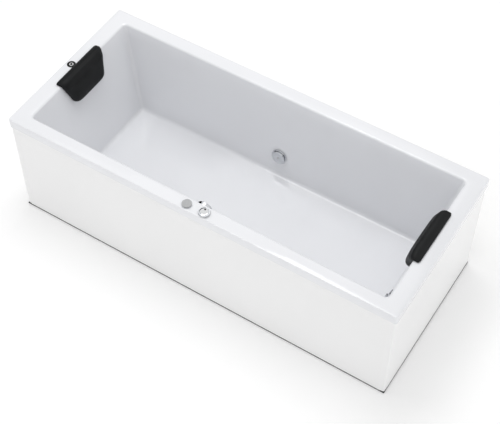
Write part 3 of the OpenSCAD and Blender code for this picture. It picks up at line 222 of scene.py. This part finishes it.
def turned_stainless():
    # Turned stainless bar and wire: clean grey metal, its tool marks drawn as a fine grain
    return patterned("turned_stainless", {"marks": (NOISE, 1.4 * MM, {"Detail": 1.0})},
                     colour=("marks", (0.3, "#B4B5B5"), (0.7, "#C8C8C6")),
                     rough=("marks", 0.2, 0.34), Metallic=1.0)


def cast_alloy():
    # Die-cast aluminium motor body, sprayed grey-blue: slightly rough, metallic flake under the paint
    return patterned("cast_alloy", {"cast": (NOISE, 3.8 * MM, {"Detail": 4.0})},
                     colour=("cast", (0.3, "#6F767E"), (0.7, "#858C94")),
                     rough=("cast", 0.4, 0.6), relief=("cast", 0.3, 0.4 * MM),
                     Metallic=0.35, IOR=1.5)


def particle_board():
    # Pressed wood particles and glue: warm tan with flakes of 2 to 5 mm
    return patterned("particle_board", {"flakes": (CELLS, 3.8 * MM, {"Randomness": 1.0})},
                     colour=("flakes", (0.1, "#A9875A"), (0.6, "#C8AA7C")),
                     relief=("flakes", 0.35, 0.5 * MM), Roughness=0.75)


def planed_softwood():
    # Planed spruce batten: pale, with year rings drawn out along the length
    return patterned("planed_softwood",
                     {"rings": (NOISE, 4.5 * MM, {"Detail": 3.0, "Distortion": 0.4},
                                {"Scale": (0.06, 1.0, 1.0)})},
                     colour=("rings", (0.35, "#C79A5E"), (0.65, "#E3C48F")),
                     relief=("rings", 0.2, 0.3 * MM), Roughness=0.6)


def foam_skin():
    # Self-skinned polyurethane foam, moulded: black, satin, with a leather grain drawn coarse enough to show
    return patterned("foam_skin",
                     {"cloud": (NOISE, 45 * MM, {"Detail": 3.0}), "grain": (CELLS, 1.9 * MM, {})},
                     colour=("cloud", (0.3, "#0F1011"), (0.7, "#171819")),
                     rough=("cloud", 0.46, 0.6), relief=("grain", 0.18, 0.3 * MM),
                     IOR=1.48, Specular_IOR_Level=0.2)


def milky_vinyl():
    # Soft PVC of a suction cup seen over the white rim: milky and wet-looking, with faint flow lines
    return patterned("milky_vinyl", {"flow": (NOISE, 5.6 * MM, {"Detail": 2.0})},
                     colour=("flow", (0.3, "#D9DADB"), (0.7, "#EEEEEF")),
                     IOR=1.53, Roughness=0.15, Transmission_Weight=0.2)


FINISH = {
    "acrylic": sanitary_acrylic(),
    "panel_acrylic": panel_acrylic(),
    "particle_board": particle_board(),
    "batten_wood": planed_softwood(),
    "frame_steel": powder_coat(),
    "zinc_steel": zinc_plate(),
    "foot_plastic": moulded_plastic("black_nylon", "#141415", "#1E1E20", 0.45),
    "clip_plastic": moulded_plastic("grey_nylon", "#5A5C5F", "#66686B", 0.45),
    "chrome": chrome_plate(),
    "grey_disc": satin_plate("satin_plate", "#9B9C9D", "#AFB0B1"),
    "pipe_plastic": moulded_plastic("white_pvc", "#E3E3DF", "#ECECE8", 0.26, 8.3 * MM, 0.05),
    "hose_plastic": moulded_plastic("grey_polyethylene", "#B9BCBF", "#C6C9CB", 0.36, 6.2 * MM, 0.08),
    "motor_alloy": cast_alloy(),
    "pump_plastic": moulded_plastic("glass_filled_black", "#1A1C1F", "#26292C", 0.42, 2.6 * MM, 0.25),
    "vane_plastic": moulded_plastic("natural_nylon", "#CFC8B2", "#DCD6C3", 0.4),
    "rubber_black": moulded_plastic("black_rubber", "#0C0C0D", "#141415", 0.7, 3.3 * MM, 0.2),
    "stainless": turned_stainless(),
    "pad_black": foam_skin(),
}
for node, obj in cad.items():
    obj.data.materials.clear()
    obj.data.materials.append(FINISH[slot_of[node]])


# How a piece is made

CREASE_ANGLE = math.radians(32)


def new_object(name, data):
    """An object that is linked into the scene."""
    made = bpy.data.objects.new(name, data)
    scene.collection.objects.link(made)
    return made


def smooth_curves(form):
    """Shades faces smooth up to the crease angle."""
    for face in form.faces:
        face.smooth = True
    for edge in form.edges:
        edge.smooth = len(edge.link_faces) == 2 and edge.calc_face_angle(0) < CREASE_ANGLE


def merged_copy(node, name):
    """A copy of a CAD node with its doubles merged and its curved faces shaded smooth."""
    mesh = cad[node].data.copy()
    mesh.name = name
    form = bmesh.new()
    form.from_mesh(mesh)
    bmesh.ops.remove_doubles(form, verts=form.verts, dist=0.002 * MM)
    smooth_curves(form)
    form.to_mesh(mesh)
    form.free()
    return new_object(name, mesh)


def stands_for(piece, node, body):
    """Puts a finished piece in the place of a CAD node: it rides the body and the node is hidden."""
    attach(piece, body)
    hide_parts(node)


def made_real(piece):
    """Turns an object's modifiers into plain mesh."""
    depsgraph = bpy.context.evaluated_depsgraph_get()
    mesh = bpy.data.meshes.new_from_object(piece.evaluated_get(depsgraph))
    piece.modifiers.clear()
    piece.data = mesh
    return mesh


def from_form(form, name, *finishes, curved=False):
    """An object from a bmesh, with its faces turned outwards."""
    bmesh.ops.recalc_face_normals(form, faces=form.faces)
    if curved:
        smooth_curves(form)
    mesh = bpy.data.meshes.new(name)
    form.to_mesh(mesh)
    form.free()
    for finish in finishes:
        mesh.materials.append(finish)
    return new_object(name, mesh)


LATHE_STEPS = 64


def turned(name, middle, base, outlines, body, slot, *finishes):
    """A piece turned about an upright axis through middle.

    Each outline goes with one finish, or all with the only one. Its points are a radius and a height over
    the base, in millimetres, and it runs from the top inwards to the bottom.
    """
    form = bmesh.new()
    for number, outline in enumerate(outlines):
        rings = []
        for radius, height in outline:
            if radius == 0:
                rings.append([form.verts.new((middle.x, middle.y, base + height * MM))] * LATHE_STEPS)
                continue
            turns = [math.tau * step / LATHE_STEPS for step in range(LATHE_STEPS)]
            rings.append([form.verts.new((middle.x + radius * MM * math.cos(turn),
                                          middle.y + radius * MM * math.sin(turn),
                                          base + height * MM)) for turn in turns])
        for one, two in zip(rings, rings[1:]):
            for i in range(LATHE_STEPS):
                j = (i + 1) % LATHE_STEPS
                face = form.faces.new(list(dict.fromkeys([one[i], one[j], two[j], two[i]])))
                face.material_index = min(number, len(finishes) - 1)
    bmesh.ops.remove_doubles(form, verts=form.verts, dist=0.001 * MM)
    piece = from_form(form, name, *finishes, curved=True)
    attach(piece, body)


# Shell, feet, cup, knob, spring and the black strip that paints the shade in the gap under the panels

RIM_SKIN = 5 * MM
LIP_WALL = 3 * MM
BACK_DROP = 6 * MM
# How far a face's normal has to point down or up, and how far its normal times its place has to be out
FACES_DOWN = -0.9
FACES_UP = 0.3
OUT_ALONG = 0.02
OUT_ACROSS = 0.01
FOOT_TOP = 14 * MM
FOOT_EDGE = 0.5 * MM
CUP_DISH = (4.2 * MM, 9.6 * MM)

# Outlines in millimetres: radius, then height over the rim for the cup and over the knob's top for the cap
CUP_LIP = ((9.0, 0.8), (9.6, 1.5), (11.0, 1.9), (15.0, 1.7), (17.8, 0.9), (18.4, 0.3), (18.2, 0.1),
           (9.0, 0.1), (9.0, 0.8))
CUP_STUD = ((0, 3.6), (3.4, 3.5), (4.6, 2.8), (4.8, 0.3), (0, 0.3))
CAP_FACE = ((0, 1.2), (14.4, 1.2))
CAP_BEVEL = ((14.4, 1.2), (14.7, 1.5), (15.2, 1.45), (22.9, -1.1), (23.4, -1.6), (23.4, -2.6),
             (22.6, -2.6), (0, -2.6))
INDEX_DOT = ((0, 1.45), (3.6, 1.45), (3.8, 1.3), (3.8, 1.0), (0, 1.0))
DOT_REACH = 9.6 * MM
DOT_WAY = Vector((-0.2, 1.0, 0)).normalized()
# Sizes of the black strip under the panels, which is painted shade for the shadow in their gap
SHADE_STRIP_PROUD = 0.8 * MM
SHADE_STRIP_THICK = 3.0 * MM
SHADE_STRIP_CLEAR = 0.3 * MM


def bath_shell():
    """The bath's shell, with polished acrylic inside and on the rim, and fibre-backed outside."""
    piece = merged_copy("tub_shell", "bath_shell")
    piece.data.materials.append(glass_fibre_back())
    for face in piece.data.polygons:
        n, c = face.normal, face.center
        under_rim = c.z < RIM_TOP - RIM_SKIN and n.z < FACES_DOWN
        outward = n.x * c.x > OUT_ALONG or n.y * c.y > OUT_ACROSS
        inside_lip = abs(c.x) < HALF_LENGTH - LIP_WALL and abs(c.y) < HALF_WIDTH - LIP_WALL
        basin_back = outward and inside_lip and c.z < RIM_TOP - BACK_DROP
        face.material_index = 1 if under_rim or basin_back else 0
    stands_for(piece, "tub_shell", "bath")


def levelling_foot(number):
    """A levelling foot: nylon pad and hexagon below, zinc-plated rod above."""
    piece = merged_copy("foot_%d" % number, "levelling_foot_%d" % number)
    piece.data.materials.append(FINISH["zinc_steel"])
    for face in piece.data.polygons:
        face.material_index = 1 if face.center.z > FOOT_TOP + FOOT_EDGE else 0
    stands_for(piece, "foot_%d" % number, "foot_%d" % number)


def suction_cup():
    """The left headrest's suction cup: black lip and lifting knob round a milky dish."""
    low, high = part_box("headrest_cup")
    middle = (low + high) / 2
    piece = merged_copy("headrest_cup", "suction_cup")
    piece.data.materials.append(milky_vinyl())
    for face in piece.data.polygons:
        in_dish = CUP_DISH[0] < (face.center.xy - middle.xy).length < CUP_DISH[1]
        face.material_index = 1 if in_dish and face.normal.z > FACES_UP else 0
    stands_for(piece, "headrest_cup", "headrest_left")
    turned("cup_lip", middle, low.z, (CUP_LIP, CUP_STUD), "headrest_left", "rubber_black",
           FINISH["rubber_black"])


def knob_cap():
    """The air knob's cap: a chrome bevel round a satin face with an index dot, over the knob's top."""
    low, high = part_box("air_knob")
    middle = (low + high) / 2
    turned("knob_cap", middle, high.z, (CAP_BEVEL, CAP_FACE), "air_knob", "chrome",
           FINISH["chrome"], satin_plate("knob_face", "#BCBDBE", "#D3D4D5"))
    turned("knob_index", middle + DOT_WAY * DOT_REACH, high.z, (INDEX_DOT,), "air_knob", "rubber_black",
           FINISH["rubber_black"])


def return_spring():
    """The button's spring, which on the real button shortens by the stroke; here a smooth copy with a mesh of
    its own.
    """
    piece = merged_copy("button_spring", "return_spring")
    stands_for(piece, "button_spring", "bath")
    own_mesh(piece)


def foot_seal():
    """A black strip in the gap under the three panels, a little proud of their faces: painted shade that
    stands in for the shadow in the gap.
    """
    left_x, back_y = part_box("left_end_panel")[0].x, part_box("left_end_panel")[1].y
    right_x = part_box("right_end_panel")[1].x
    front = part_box("front_panel")[0]
    form = bmesh.new()
    walls = []
    for inset in (-SHADE_STRIP_PROUD, SHADE_STRIP_THICK - SHADE_STRIP_PROUD):
        path = [(left_x + inset, back_y), (left_x + inset, front.y + inset),
                (right_x - inset, front.y + inset), (right_x - inset, back_y)]
        walls.append([[form.verts.new((x, y, z)) for x, y in path] for z in (SHADE_STRIP_CLEAR, front.z)])
    (low_out, high_out), (low_in, high_in) = walls
    for one, two in ((low_out, high_out), (high_out, high_in), (high_in, low_in), (low_in, low_out)):
        for i in range(3):
            form.faces.new((one[i], one[i + 1], two[i + 1], two[i]))
    for i in (0, 3):
        form.faces.new((low_out[i], high_out[i], high_in[i], low_in[i]))
    # The black rubber finish here is painted shade: the strip stands where the gap under the panels holds
    # only shadow
    piece = from_form(form, "foot_seal", FINISH["rubber_black"])
    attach(piece, "bath")


bath_shell()
for number in (1, 2, 3, 4):
    levelling_foot(number)
suction_cup()
knob_cap()
return_spring()
# The black strip under the panels is painted shade for the shadow in their gap
foot_seal()


# Trees for fasteners, clamps and threads

def new_tree(name, **sizes):
    """A node tree with one named input for each size and for its finish."""
    tree = bpy.data.node_groups.new(name, "GeometryNodeTree")
    tree.interface.new_socket(name="Geometry", in_out="INPUT", socket_type="NodeSocketGeometry")
    for key, value in sizes.items():
        kind = "NodeSocketInt" if isinstance(value, int) else "NodeSocketFloat"
        socket = tree.interface.new_socket(name=key.replace("_", " "), in_out="INPUT", socket_type=kind)
        socket.default_value = value
    tree.interface.new_socket(name="Finish", in_out="INPUT", socket_type="NodeSocketMaterial")
    tree.interface.new_socket(name="Geometry", in_out="OUTPUT", socket_type="NodeSocketGeometry")
    return tree, add(tree, "NodeGroupInput").outputs


def set_on_points(tree, given, shape):
    """Ends a tree: the shape stands on every point along its facing, made real, in its finish."""
    facing = add(tree, "GeometryNodeInputNamedAttribute", {"Name": "facing"}, data_type="FLOAT_VECTOR")
    turn = add(tree, "FunctionNodeAlignRotationToVector", {"Vector": facing}, axis="Z")
    placed = add(tree, "GeometryNodeInstanceOnPoints",
                 {"Points": given["Geometry"], "Instance": shape, "Rotation": turn})
    real = add(tree, "GeometryNodeRealizeInstances", {"Geometry": placed})
    finished = add(tree, "GeometryNodeSetMaterial", {"Geometry": real, "Material": given["Finish"]})
    add(tree, "NodeGroupOutput", {"Geometry": finished})
    return tree


CROWN_HEIGHT_SHARE = 0.25
CROWN_RADIUS_SHARE = 0.78
WASHER_SIDES = 20
BAND_STEPS = 40
HOUSING_SIDES = 12
THREAD_STEPS = 16
CREST_SIDES = 4


def headed_fastener():
    """A washer with a head on it; the head's top edge is chamfered."""
    tree, given = new_tree("headed_fastener", Sides=6, Head_radius=4 * MM, Head_height=3 * MM,
                           Washer_radius=6 * MM, Washer_height=1 * MM)
    body_height, crown_height, crown_radius, washer_middle = [
        add(tree, "ShaderNodeMath", {0: given[size], 1: share}, operation="MULTIPLY")
        for size, share in (("Head height", 1 - CROWN_HEIGHT_SHARE), ("Head height", CROWN_HEIGHT_SHARE),
                            ("Head radius", CROWN_RADIUS_SHARE), ("Washer height", 0.5))]
    body_middle = add(tree, "ShaderNodeMath", {0: body_height, 1: 0.5, 2: given["Washer height"]},
                      operation="MULTIPLY_ADD")
    crown_base = add(tree, "ShaderNodeMath", {0: given["Washer height"], 1: body_height}, operation="ADD")
    washer = add(tree, "GeometryNodeMeshCylinder",
                 {"Vertices": WASHER_SIDES, "Radius": given["Washer radius"],
                  "Depth": given["Washer height"]})
    body = add(tree, "GeometryNodeMeshCylinder",
               {"Vertices": given["Sides"], "Radius": given["Head radius"], "Depth": body_height})
    crown = add(tree, "GeometryNodeMeshCone",
                {"Vertices": given["Sides"], "Radius Bottom": given["Head radius"],
                 "Radius Top": crown_radius, "Depth": crown_height})
    stacked = []
    for shape, height in ((washer, washer_middle), (body, body_middle), (crown, crown_base)):
        up = add(tree, "ShaderNodeCombineXYZ", {"Z": height})
        stacked.append(add(tree, "GeometryNodeTransform", {"Geometry": shape, "Translation": up}))
    return set_on_points(tree, given, add(tree, "GeometryNodeJoinGeometry", {"Geometry": stacked}))


def worm_clamp():
    """A flat band round a hose with its screw housing on one side."""
    tree, given = new_tree("worm_clamp", Radius=14 * MM, Band_width=9 * MM, Band_thickness=0.9 * MM,
                           Housing_radius=4 * MM, Housing_length=14 * MM, Housing_gap=3.5 * MM)
    ring = add(tree, "GeometryNodeCurvePrimitiveCircle", {"Resolution": BAND_STEPS,
                                                            "Radius": given["Radius"]})
    section = add(tree, "GeometryNodeCurvePrimitiveQuadrilateral",
                  {"Width": given["Band thickness"], "Height": given["Band width"]})
    band = add(tree, "GeometryNodeCurveToMesh", {"Curve": ring, "Profile Curve": section})
    housing = add(tree, "GeometryNodeMeshCylinder",
                  {"Vertices": HOUSING_SIDES, "Radius": given["Housing radius"],
                   "Depth": given["Housing length"]})
    reach = add(tree, "ShaderNodeMath", {0: given["Radius"], 1: given["Housing gap"]}, operation="ADD")
    beside = add(tree, "ShaderNodeCombineXYZ", {"X": reach})
    housing_out = add(tree, "GeometryNodeTransform", {"Geometry": housing, "Translation": beside,
                                                      "Rotation": (math.pi / 2, 0, 0)})
    both = add(tree, "GeometryNodeJoinGeometry", {"Geometry": [band, housing_out]})
    return set_on_points(tree, given, both)


def rod_thread():
    """The crests of a screw thread, wound up from each point."""
    tree, given = new_tree("rod_thread", Radius=5.9 * MM, Pitch=1.75 * MM, Turns=5.0, Crest=0.45 * MM)
    height = add(tree, "ShaderNodeMath", {0: given["Pitch"], 1: given["Turns"]}, operation="MULTIPLY")
    wound = add(tree, "GeometryNodeCurveSpiral",
                {"Resolution": THREAD_STEPS, "Rotations": given["Turns"],
                 "Start Radius": given["Radius"], "End Radius": given["Radius"], "Height": height})
    section = add(tree, "GeometryNodeCurvePrimitiveCircle", {"Resolution": CREST_SIDES,
                                                             "Radius": given["Crest"]})
    crest = add(tree, "GeometryNodeCurveToMesh", {"Curve": wound, "Profile Curve": section,
                                                  "Fill Caps": True})
    return set_on_points(tree, given, crest)


def grow(name, places, tree, body, slot, **values):
    """Sets a tree's shape on places, each a point and its facing, as a plain mesh that rides a body."""
    mesh = bpy.data.meshes.new(name)
    mesh.from_pydata([point for point, _ in places], [], [])
    facing = mesh.attributes.new("facing", "FLOAT_VECTOR", "POINT")
    for item, (_, way) in zip(facing.data, places):
        item.vector = way
    piece = new_object(name, mesh)
    nodes = piece.modifiers.new("nodes", "NODES")
    nodes.node_group = tree
    sockets = {item.name: item.identifier for item in tree.interface.items_tree
               if item.in_out == "INPUT"}
    for key, value in dict(values, Finish=FINISH[slot]).items():
        nodes[sockets[key.replace("_", " ")]] = value
    piece.update_tag()
    made_real(piece)
    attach(piece, body)


# Where the fasteners, clamps and threads sit

UP, DOWN, WALLWARD = (0, 0, 1), (0, 0, -1), (0, 1, 0)
UPRIGHTS_X = (-690 * MM, 120 * MM, 690 * MM)
UPRIGHT_HALF = 10 * MM
FLANGE_THICK = 2 * MM
FLANGE_HOLE = 14.5 * MM
LID_INSET = 6 * MM
LID_LENGTH = 90 * MM
VOLUTE_COLLAR = 20 * MM
BOLT_CIRCLE_R = 46 * MM
BOLT_TURNS = range(30, 390, 60)
SUCTION_Z = 218 * MM
COVER_THICK = 14 * MM
HOSE_R = 13 * MM
CLAMP_R = 13.4 * MM
TOP_CLAMP_Z = 423.5 * MM
LOW_CLAMP_Z = 75 * MM
LOW_CLAMP_INSET = 4.5 * MM
THREAD_CLEAR = 0.6 * MM
LOWER_TURNS = 4.3
UPPER_TURNS = 7.2


def batten_screws(fastener):
    """Two screws through each upright's flange, up into the battens."""
    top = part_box("frame_uprights")[1]
    grow("batten_screws",
         [((x + side * FLANGE_HOLE, wall * (top.y - UPRIGHT_HALF), top.z - FLANGE_THICK), DOWN)
          for x in UPRIGHTS_X for wall in (-1, 1) for side in (-1, 1)],
         fastener, "bath", "zinc_steel", Head_radius=3.6 * MM, Head_height=2.6 * MM,
         Washer_radius=4.6 * MM, Washer_height=0.8 * MM)


def lid_screws(fastener):
    """A screw in each corner of the terminal box's lid, whose gland stands past it."""
    low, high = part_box("pump_terminal_box")
    grow("lid_screws", [((x, y, high.z), UP) for x in (low.x + LID_INSET, high.x - LID_INSET)
                        for y in (low.y + LID_INSET, low.y + LID_LENGTH - LID_INSET)],
         fastener, "bath", "stainless", Sides=14, Head_radius=3.0 * MM, Head_height=1.8 * MM,
         Washer_radius=3.4 * MM, Washer_height=0.5 * MM)


def volute_bolts(fastener):
    """Six bolts on the volute's face, round the shaft."""
    low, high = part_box("pump_shaft")
    axis = (low + high) / 2
    face_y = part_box("pump_volute")[1].y - VOLUTE_COLLAR
    grow("volute_bolts", [((axis.x + BOLT_CIRCLE_R * math.cos(math.radians(turn)), face_y,
                            axis.z + BOLT_CIRCLE_R * math.sin(math.radians(turn))), WALLWARD)
                          for turn in BOLT_TURNS],
         fastener, "bath", "stainless", Head_radius=4.0 * MM, Head_height=3.2 * MM,
         Washer_radius=5.2 * MM, Washer_height=0.8 * MM)


def cover_screw(fastener):
    """The screw in the middle of the suction cover, square to the leaning wall."""
    wall_y = HALF_WIDTH - RIM_SIDE_WIDTH - (RIM_TOP - SUCTION_Z) * math.tan(SIDE_LEAN)
    facing = Vector((0, -math.cos(SIDE_LEAN), math.sin(SIDE_LEAN)))
    grow("cover_screw", [(Vector((0, wall_y, SUCTION_Z)) + facing * COVER_THICK, facing)],
         fastener, "bath", "stainless", Sides=16, Head_radius=3.4 * MM, Head_height=1.2 * MM,
         Washer_radius=4.4 * MM, Washer_height=0.4 * MM)


def hose_clamps(clamp):
    """A clamp at each end of the overflow hose, over the spigot that it is pushed on."""
    hose_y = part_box("waste_pipes")[0].y + HOSE_R
    grow("hose_clamps",
         [((0, hose_y, TOP_CLAMP_Z), UP),
          ((0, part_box("drain_body")[0].y + LOW_CLAMP_INSET, LOW_CLAMP_Z), WALLWARD)],
         clamp, "bath", "stainless", Radius=CLAMP_R)


def foot_threads(thread, number):
    """The thread of a foot's rod, under its lock nuts and over them."""
    low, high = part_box("foot_%d" % number)
    x, y = (low.x + high.x) / 2, (low.y + high.y) / 2
    nuts_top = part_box("lock_nuts")[1].z
    for part, base, turns in (("lower", FOOT_TOP, LOWER_TURNS), ("upper", nuts_top, UPPER_TURNS)):
        grow("foot_%d_%s_thread" % (number, part), [((x, y, base + THREAD_CLEAR), UP)], thread,
             "foot_%d" % number, "zinc_steel", Turns=turns)


fastener, clamp, thread = headed_fastener(), worm_clamp(), rod_thread()
batten_screws(fastener)
lid_screws(fastener)
volute_bolts(fastener)
cover_screw(fastener)
hose_clamps(clamp)
for number in (1, 2, 3, 4):
    foot_threads(thread, number)


# Headrests

SWELL_FRAMES = 20
PAD_VOXEL = 5 * MM
PAD_PRESSURE = 4.0
PAD_SWELL = 5 * MM
SWELL_SHARE = 0.35
FIRM_HEIGHT = 8 * MM
FIRM_FULL = 1.25
SKIN_RETURN = 0.85
FOLD_DEPTH = 2.6 * MM
FOLD_WIDTH = 3.0 * MM
FOLD_START = 4 * MM


def swell(piece, mesh, sign):
    """Swells the foam by a pressure inside it, while its back stays on the rim and the wall."""
    firm = piece.vertex_groups.new(name="firm")
    for v in mesh.vertices:
        wall_x = WALL_END_X - (RIM_TOP - v.co.z) * math.tan(END_LEAN)
        height = max(v.co.z - RIM_TOP, (wall_x - v.co.x * sign) * math.cos(END_LEAN))
        firm.add([v.index], max(0.0, min(1.0, FIRM_FULL - height / FIRM_HEIGHT)), "REPLACE")
    rest = [v.co.copy() for v in mesh.vertices]
    cloth = piece.modifiers.new("cloth", "CLOTH")
    cloth.settings.use_pressure = True
    cloth.settings.uniform_pressure_force = PAD_PRESSURE
    cloth.settings.effector_weights.gravity = 0.0
    cloth.settings.vertex_group_mass = "firm"
    cloth.settings.quality = 6
    for number in range(1, SWELL_FRAMES + 1):
        scene.frame_set(number)
    swollen = piece.evaluated_get(bpy.context.evaluated_depsgraph_get()).data
    moved = [v.co.copy() for v in swollen.vertices]
    piece.modifiers.remove(cloth)
    scene.frame_set(1)
    for v, start, end in zip(mesh.vertices, rest, moved):
        step = end - start
        if step.length > PAD_SWELL:
            step = step.normalized() * PAD_SWELL
        v.co = start + step * SWELL_SHARE
    piece.vertex_groups.clear()


def smooth_skin(piece, mesh):
    """Smooths the skin and makes its mesh finer."""
    for face in mesh.polygons:
        face.use_smooth = True
    relax = piece.modifiers.new("relax", "SMOOTH")
    relax.factor = 0.5
    relax.iterations = 3
    finer = piece.modifiers.new("finer", "SUBSURF")
    finer.levels = finer.render_levels = 1
    return made_real(piece)


def fill_mould(mesh, mould):
    """The smoothing drew the skin in, so it goes most of the way back out to the mould."""
    moulded = BVHTree.FromPolygons([v.co for v in mould.vertices], [f.vertices for f in mould.polygons])
    mesh.update()
    for v in mesh.vertices:
        step = moulded.find_nearest(v.co)[0] - v.co
        if step.dot(v.normal) > 0:
            v.co += step * SKIN_RETURN


def press_fold(mesh, sign):
    """The crease where the flap on the rim folds down to the wall."""
    turn = math.pi / 4 + END_LEAN / 2
    outward = Vector((-math.cos(turn), 0, math.sin(turn)))
    along = Vector((math.sin(turn), 0, math.cos(turn)))
    corner = Vector((WALL_END_X, 0, RIM_TOP))
    mesh.update()
    for v in mesh.vertices:
        from_corner = Vector((v.co.x * sign, 0, v.co.z)) - corner
        if from_corner.dot(outward) > FOLD_START:
            v.co -= v.normal * FOLD_DEPTH * math.exp(-(from_corner.dot(along) / FOLD_WIDTH) ** 2)


def headrest(side):
    """A moulded foam headrest, swollen over its firm back by a cloth simulation, then creased at its fold."""
    sign = -1 if side == "left" else 1
    node = "headrest_" + side
    piece = merged_copy(node, "headrest_pad_" + side)
    bpy.context.view_layer.objects.active = piece
    remesh = piece.modifiers.new("remesh", "REMESH")
    remesh.mode = "VOXEL"
    remesh.voxel_size = PAD_VOXEL
    swell(piece, made_real(piece), sign)
    mesh = smooth_skin(piece, piece.data)
    mesh.materials.clear()
    mesh.materials.append(FINISH["pad_black"])
    fill_mould(mesh, cad[node].data)
    press_fold(mesh, sign)
    stands_for(piece, node, node)


headrest("left")
headrest("right")


# Stage

FLOOR_HALF = 14.0
FLOOR_GLOW = 0.13
WORLD_LEVEL = 0.692


def seen_directly(tree):
    """One where the camera looks, straight or through a mirror or glass, and zero elsewhere."""
    path = add(tree, "ShaderNodeLightPath").outputs
    seen = path["Is Camera Ray"]
    for ray in ("Is Glossy Ray", "Is Transmission Ray"):
        seen = add(tree, "ShaderNodeMath", {0: seen, 1: path[ray]}, operation="MAXIMUM")
    return seen


def studio_floor():
    """A matt white studio floor, lifted to white where it is seen directly."""
    made, tree, shader = surface("studio_floor", Roughness=0.9, Base_Color=linear("#F4F4F4"),
                                 Specular_IOR_Level=0.0, Emission_Color=linear("#FFFFFF"))
    glow = add(tree, "ShaderNodeMath", {0: seen_directly(tree), 1: FLOOR_GLOW}, operation="MULTIPLY")
    feed(tree, shader, {"Emission Strength": glow})
    mesh = bpy.data.meshes.new("floor")
    corners = [(x * FLOOR_HALF, y * FLOOR_HALF, 0) for x, y in ((-1, -1), (1, -1), (1, 1), (-1, 1))]
    mesh.from_pydata(corners, [], [(0, 1, 2, 3)])
    mesh.materials.append(made)
    floor = new_object("floor", mesh)


def studio_world():
    """An even white world, at full strength where it is seen directly."""
    world = bpy.data.worlds.new("studio")
    world.use_nodes = True
    scene.world = world
    tree = world.node_tree
    level = add(tree, "ShaderNodeMapRange", {"Value": seen_directly(tree), "To Min": WORLD_LEVEL})
    feed(tree, tree.nodes["Background"], {"Color": linear("#FFFFFF"), "Strength": level})


def lamp(name, place, target, size, power):
    """A rectangular softbox that the camera doesn't see."""
    data = bpy.data.lights.new(name, "AREA")
    data.shape = "RECTANGLE"
    data.size, data.size_y = size
    data.energy = power
    obj = new_object(name, data)
    obj.location = place
    obj.rotation_euler = (Vector(target) - Vector(place)).to_track_quat("-Z", "Y").to_euler()
    obj.visible_camera = False


FLAG_REACH = 6.0
FLAG_STEPS = 24


def dark_flag(name, low, high, start, end):
    """A curved black felt flag that only mirrors see, so that chrome gets its dark accents."""
    turns = [math.radians(start + (end - start) * i / FLAG_STEPS) for i in range(FLAG_STEPS + 1)]
    mesh = bpy.data.meshes.new(name)
    mesh.from_pydata([(FLAG_REACH * math.sin(t), -FLAG_REACH * math.cos(t), z)
                      for t in turns for z in (low, high)], [],
                     [(2 * i, 2 * i + 2, 2 * i + 3, 2 * i + 1) for i in range(FLAG_STEPS)])
    mesh.materials.append(surface(name + "_felt", Roughness=1.0, Base_Color=linear("#0A0A0A"),
                                  Specular_IOR_Level=0.0)[0])
    obj = new_object(name, mesh)
    obj.visible_camera = obj.visible_diffuse = obj.visible_shadow = False
    obj.visible_transmission = False


# Each lamp's place, target and size in metres, and its power in watts
LAMPS = {
    "overhead_softbox": ((-0.7, 0.3, 4.2), (0.0, 0.0, 0.3), (2.8, 1.4), 50),
    "far_softbox": ((-1.2, 1.7, 4.0), (0.0, 0.0, 0.3), (2.8, 1.4), 7),
    "rear_softbox": ((-0.3, 3.6, 2.6), (0.0, 0.0, 0.3), (3.6, 1.0), 13),
    "front_strip": ((0.0, -3.0, 0.6), (0.0, 0.0, 0.4), (3.0, 0.4), 12.8),
    "right_strip": ((3.4, 0.0, 0.26), (0.0, 0.0, 0.26), (2.0, 0.4), 12.9),
}
# Each flag's lower and upper edge in metres, and where it starts and ends, in degrees round from the front
FLAGS = {
    "left_flag": (0.9, 4.7, 205, 290),
    "right_flag": (0.9, 4.7, 150, 199),
    "front_flag": (1.4, 3.6, -60, 80),
}
studio_floor()
studio_world()
for name, (place, target, size, power) in LAMPS.items():
    lamp(name, place, target, size, power)
for name, (low, high, start, end) in FLAGS.items():
    dark_flag(name, low, high, start, end)


# Camera

SENSOR = 36.0
FOCAL_PIXELS = 1211.17
PHOTO_WIDTH = 500
AZIMUTH = math.radians(32.356)
ELEVATION = math.radians(52.434)
DISTANCE = 4.8671
TARGET = Vector((0.07499, -0.07743, 0.270))
camera_data = bpy.data.cameras.new("camera")
camera_data.sensor_width = SENSOR
camera_data.lens = FOCAL_PIXELS / PHOTO_WIDTH * SENSOR
camera_data.dof.use_dof = False
camera_data.clip_end = 100
camera = new_object("camera", camera_data)
away = Vector((math.sin(AZIMUTH) * math.cos(ELEVATION), -math.cos(AZIMUTH) * math.cos(ELEVATION),
               math.sin(ELEVATION)))
camera.location = TARGET + away * DISTANCE
camera.rotation_euler = (-away).to_track_quat("-Z", "Y").to_euler()
scene.camera = camera
scene.view_settings.view_transform = "Standard"
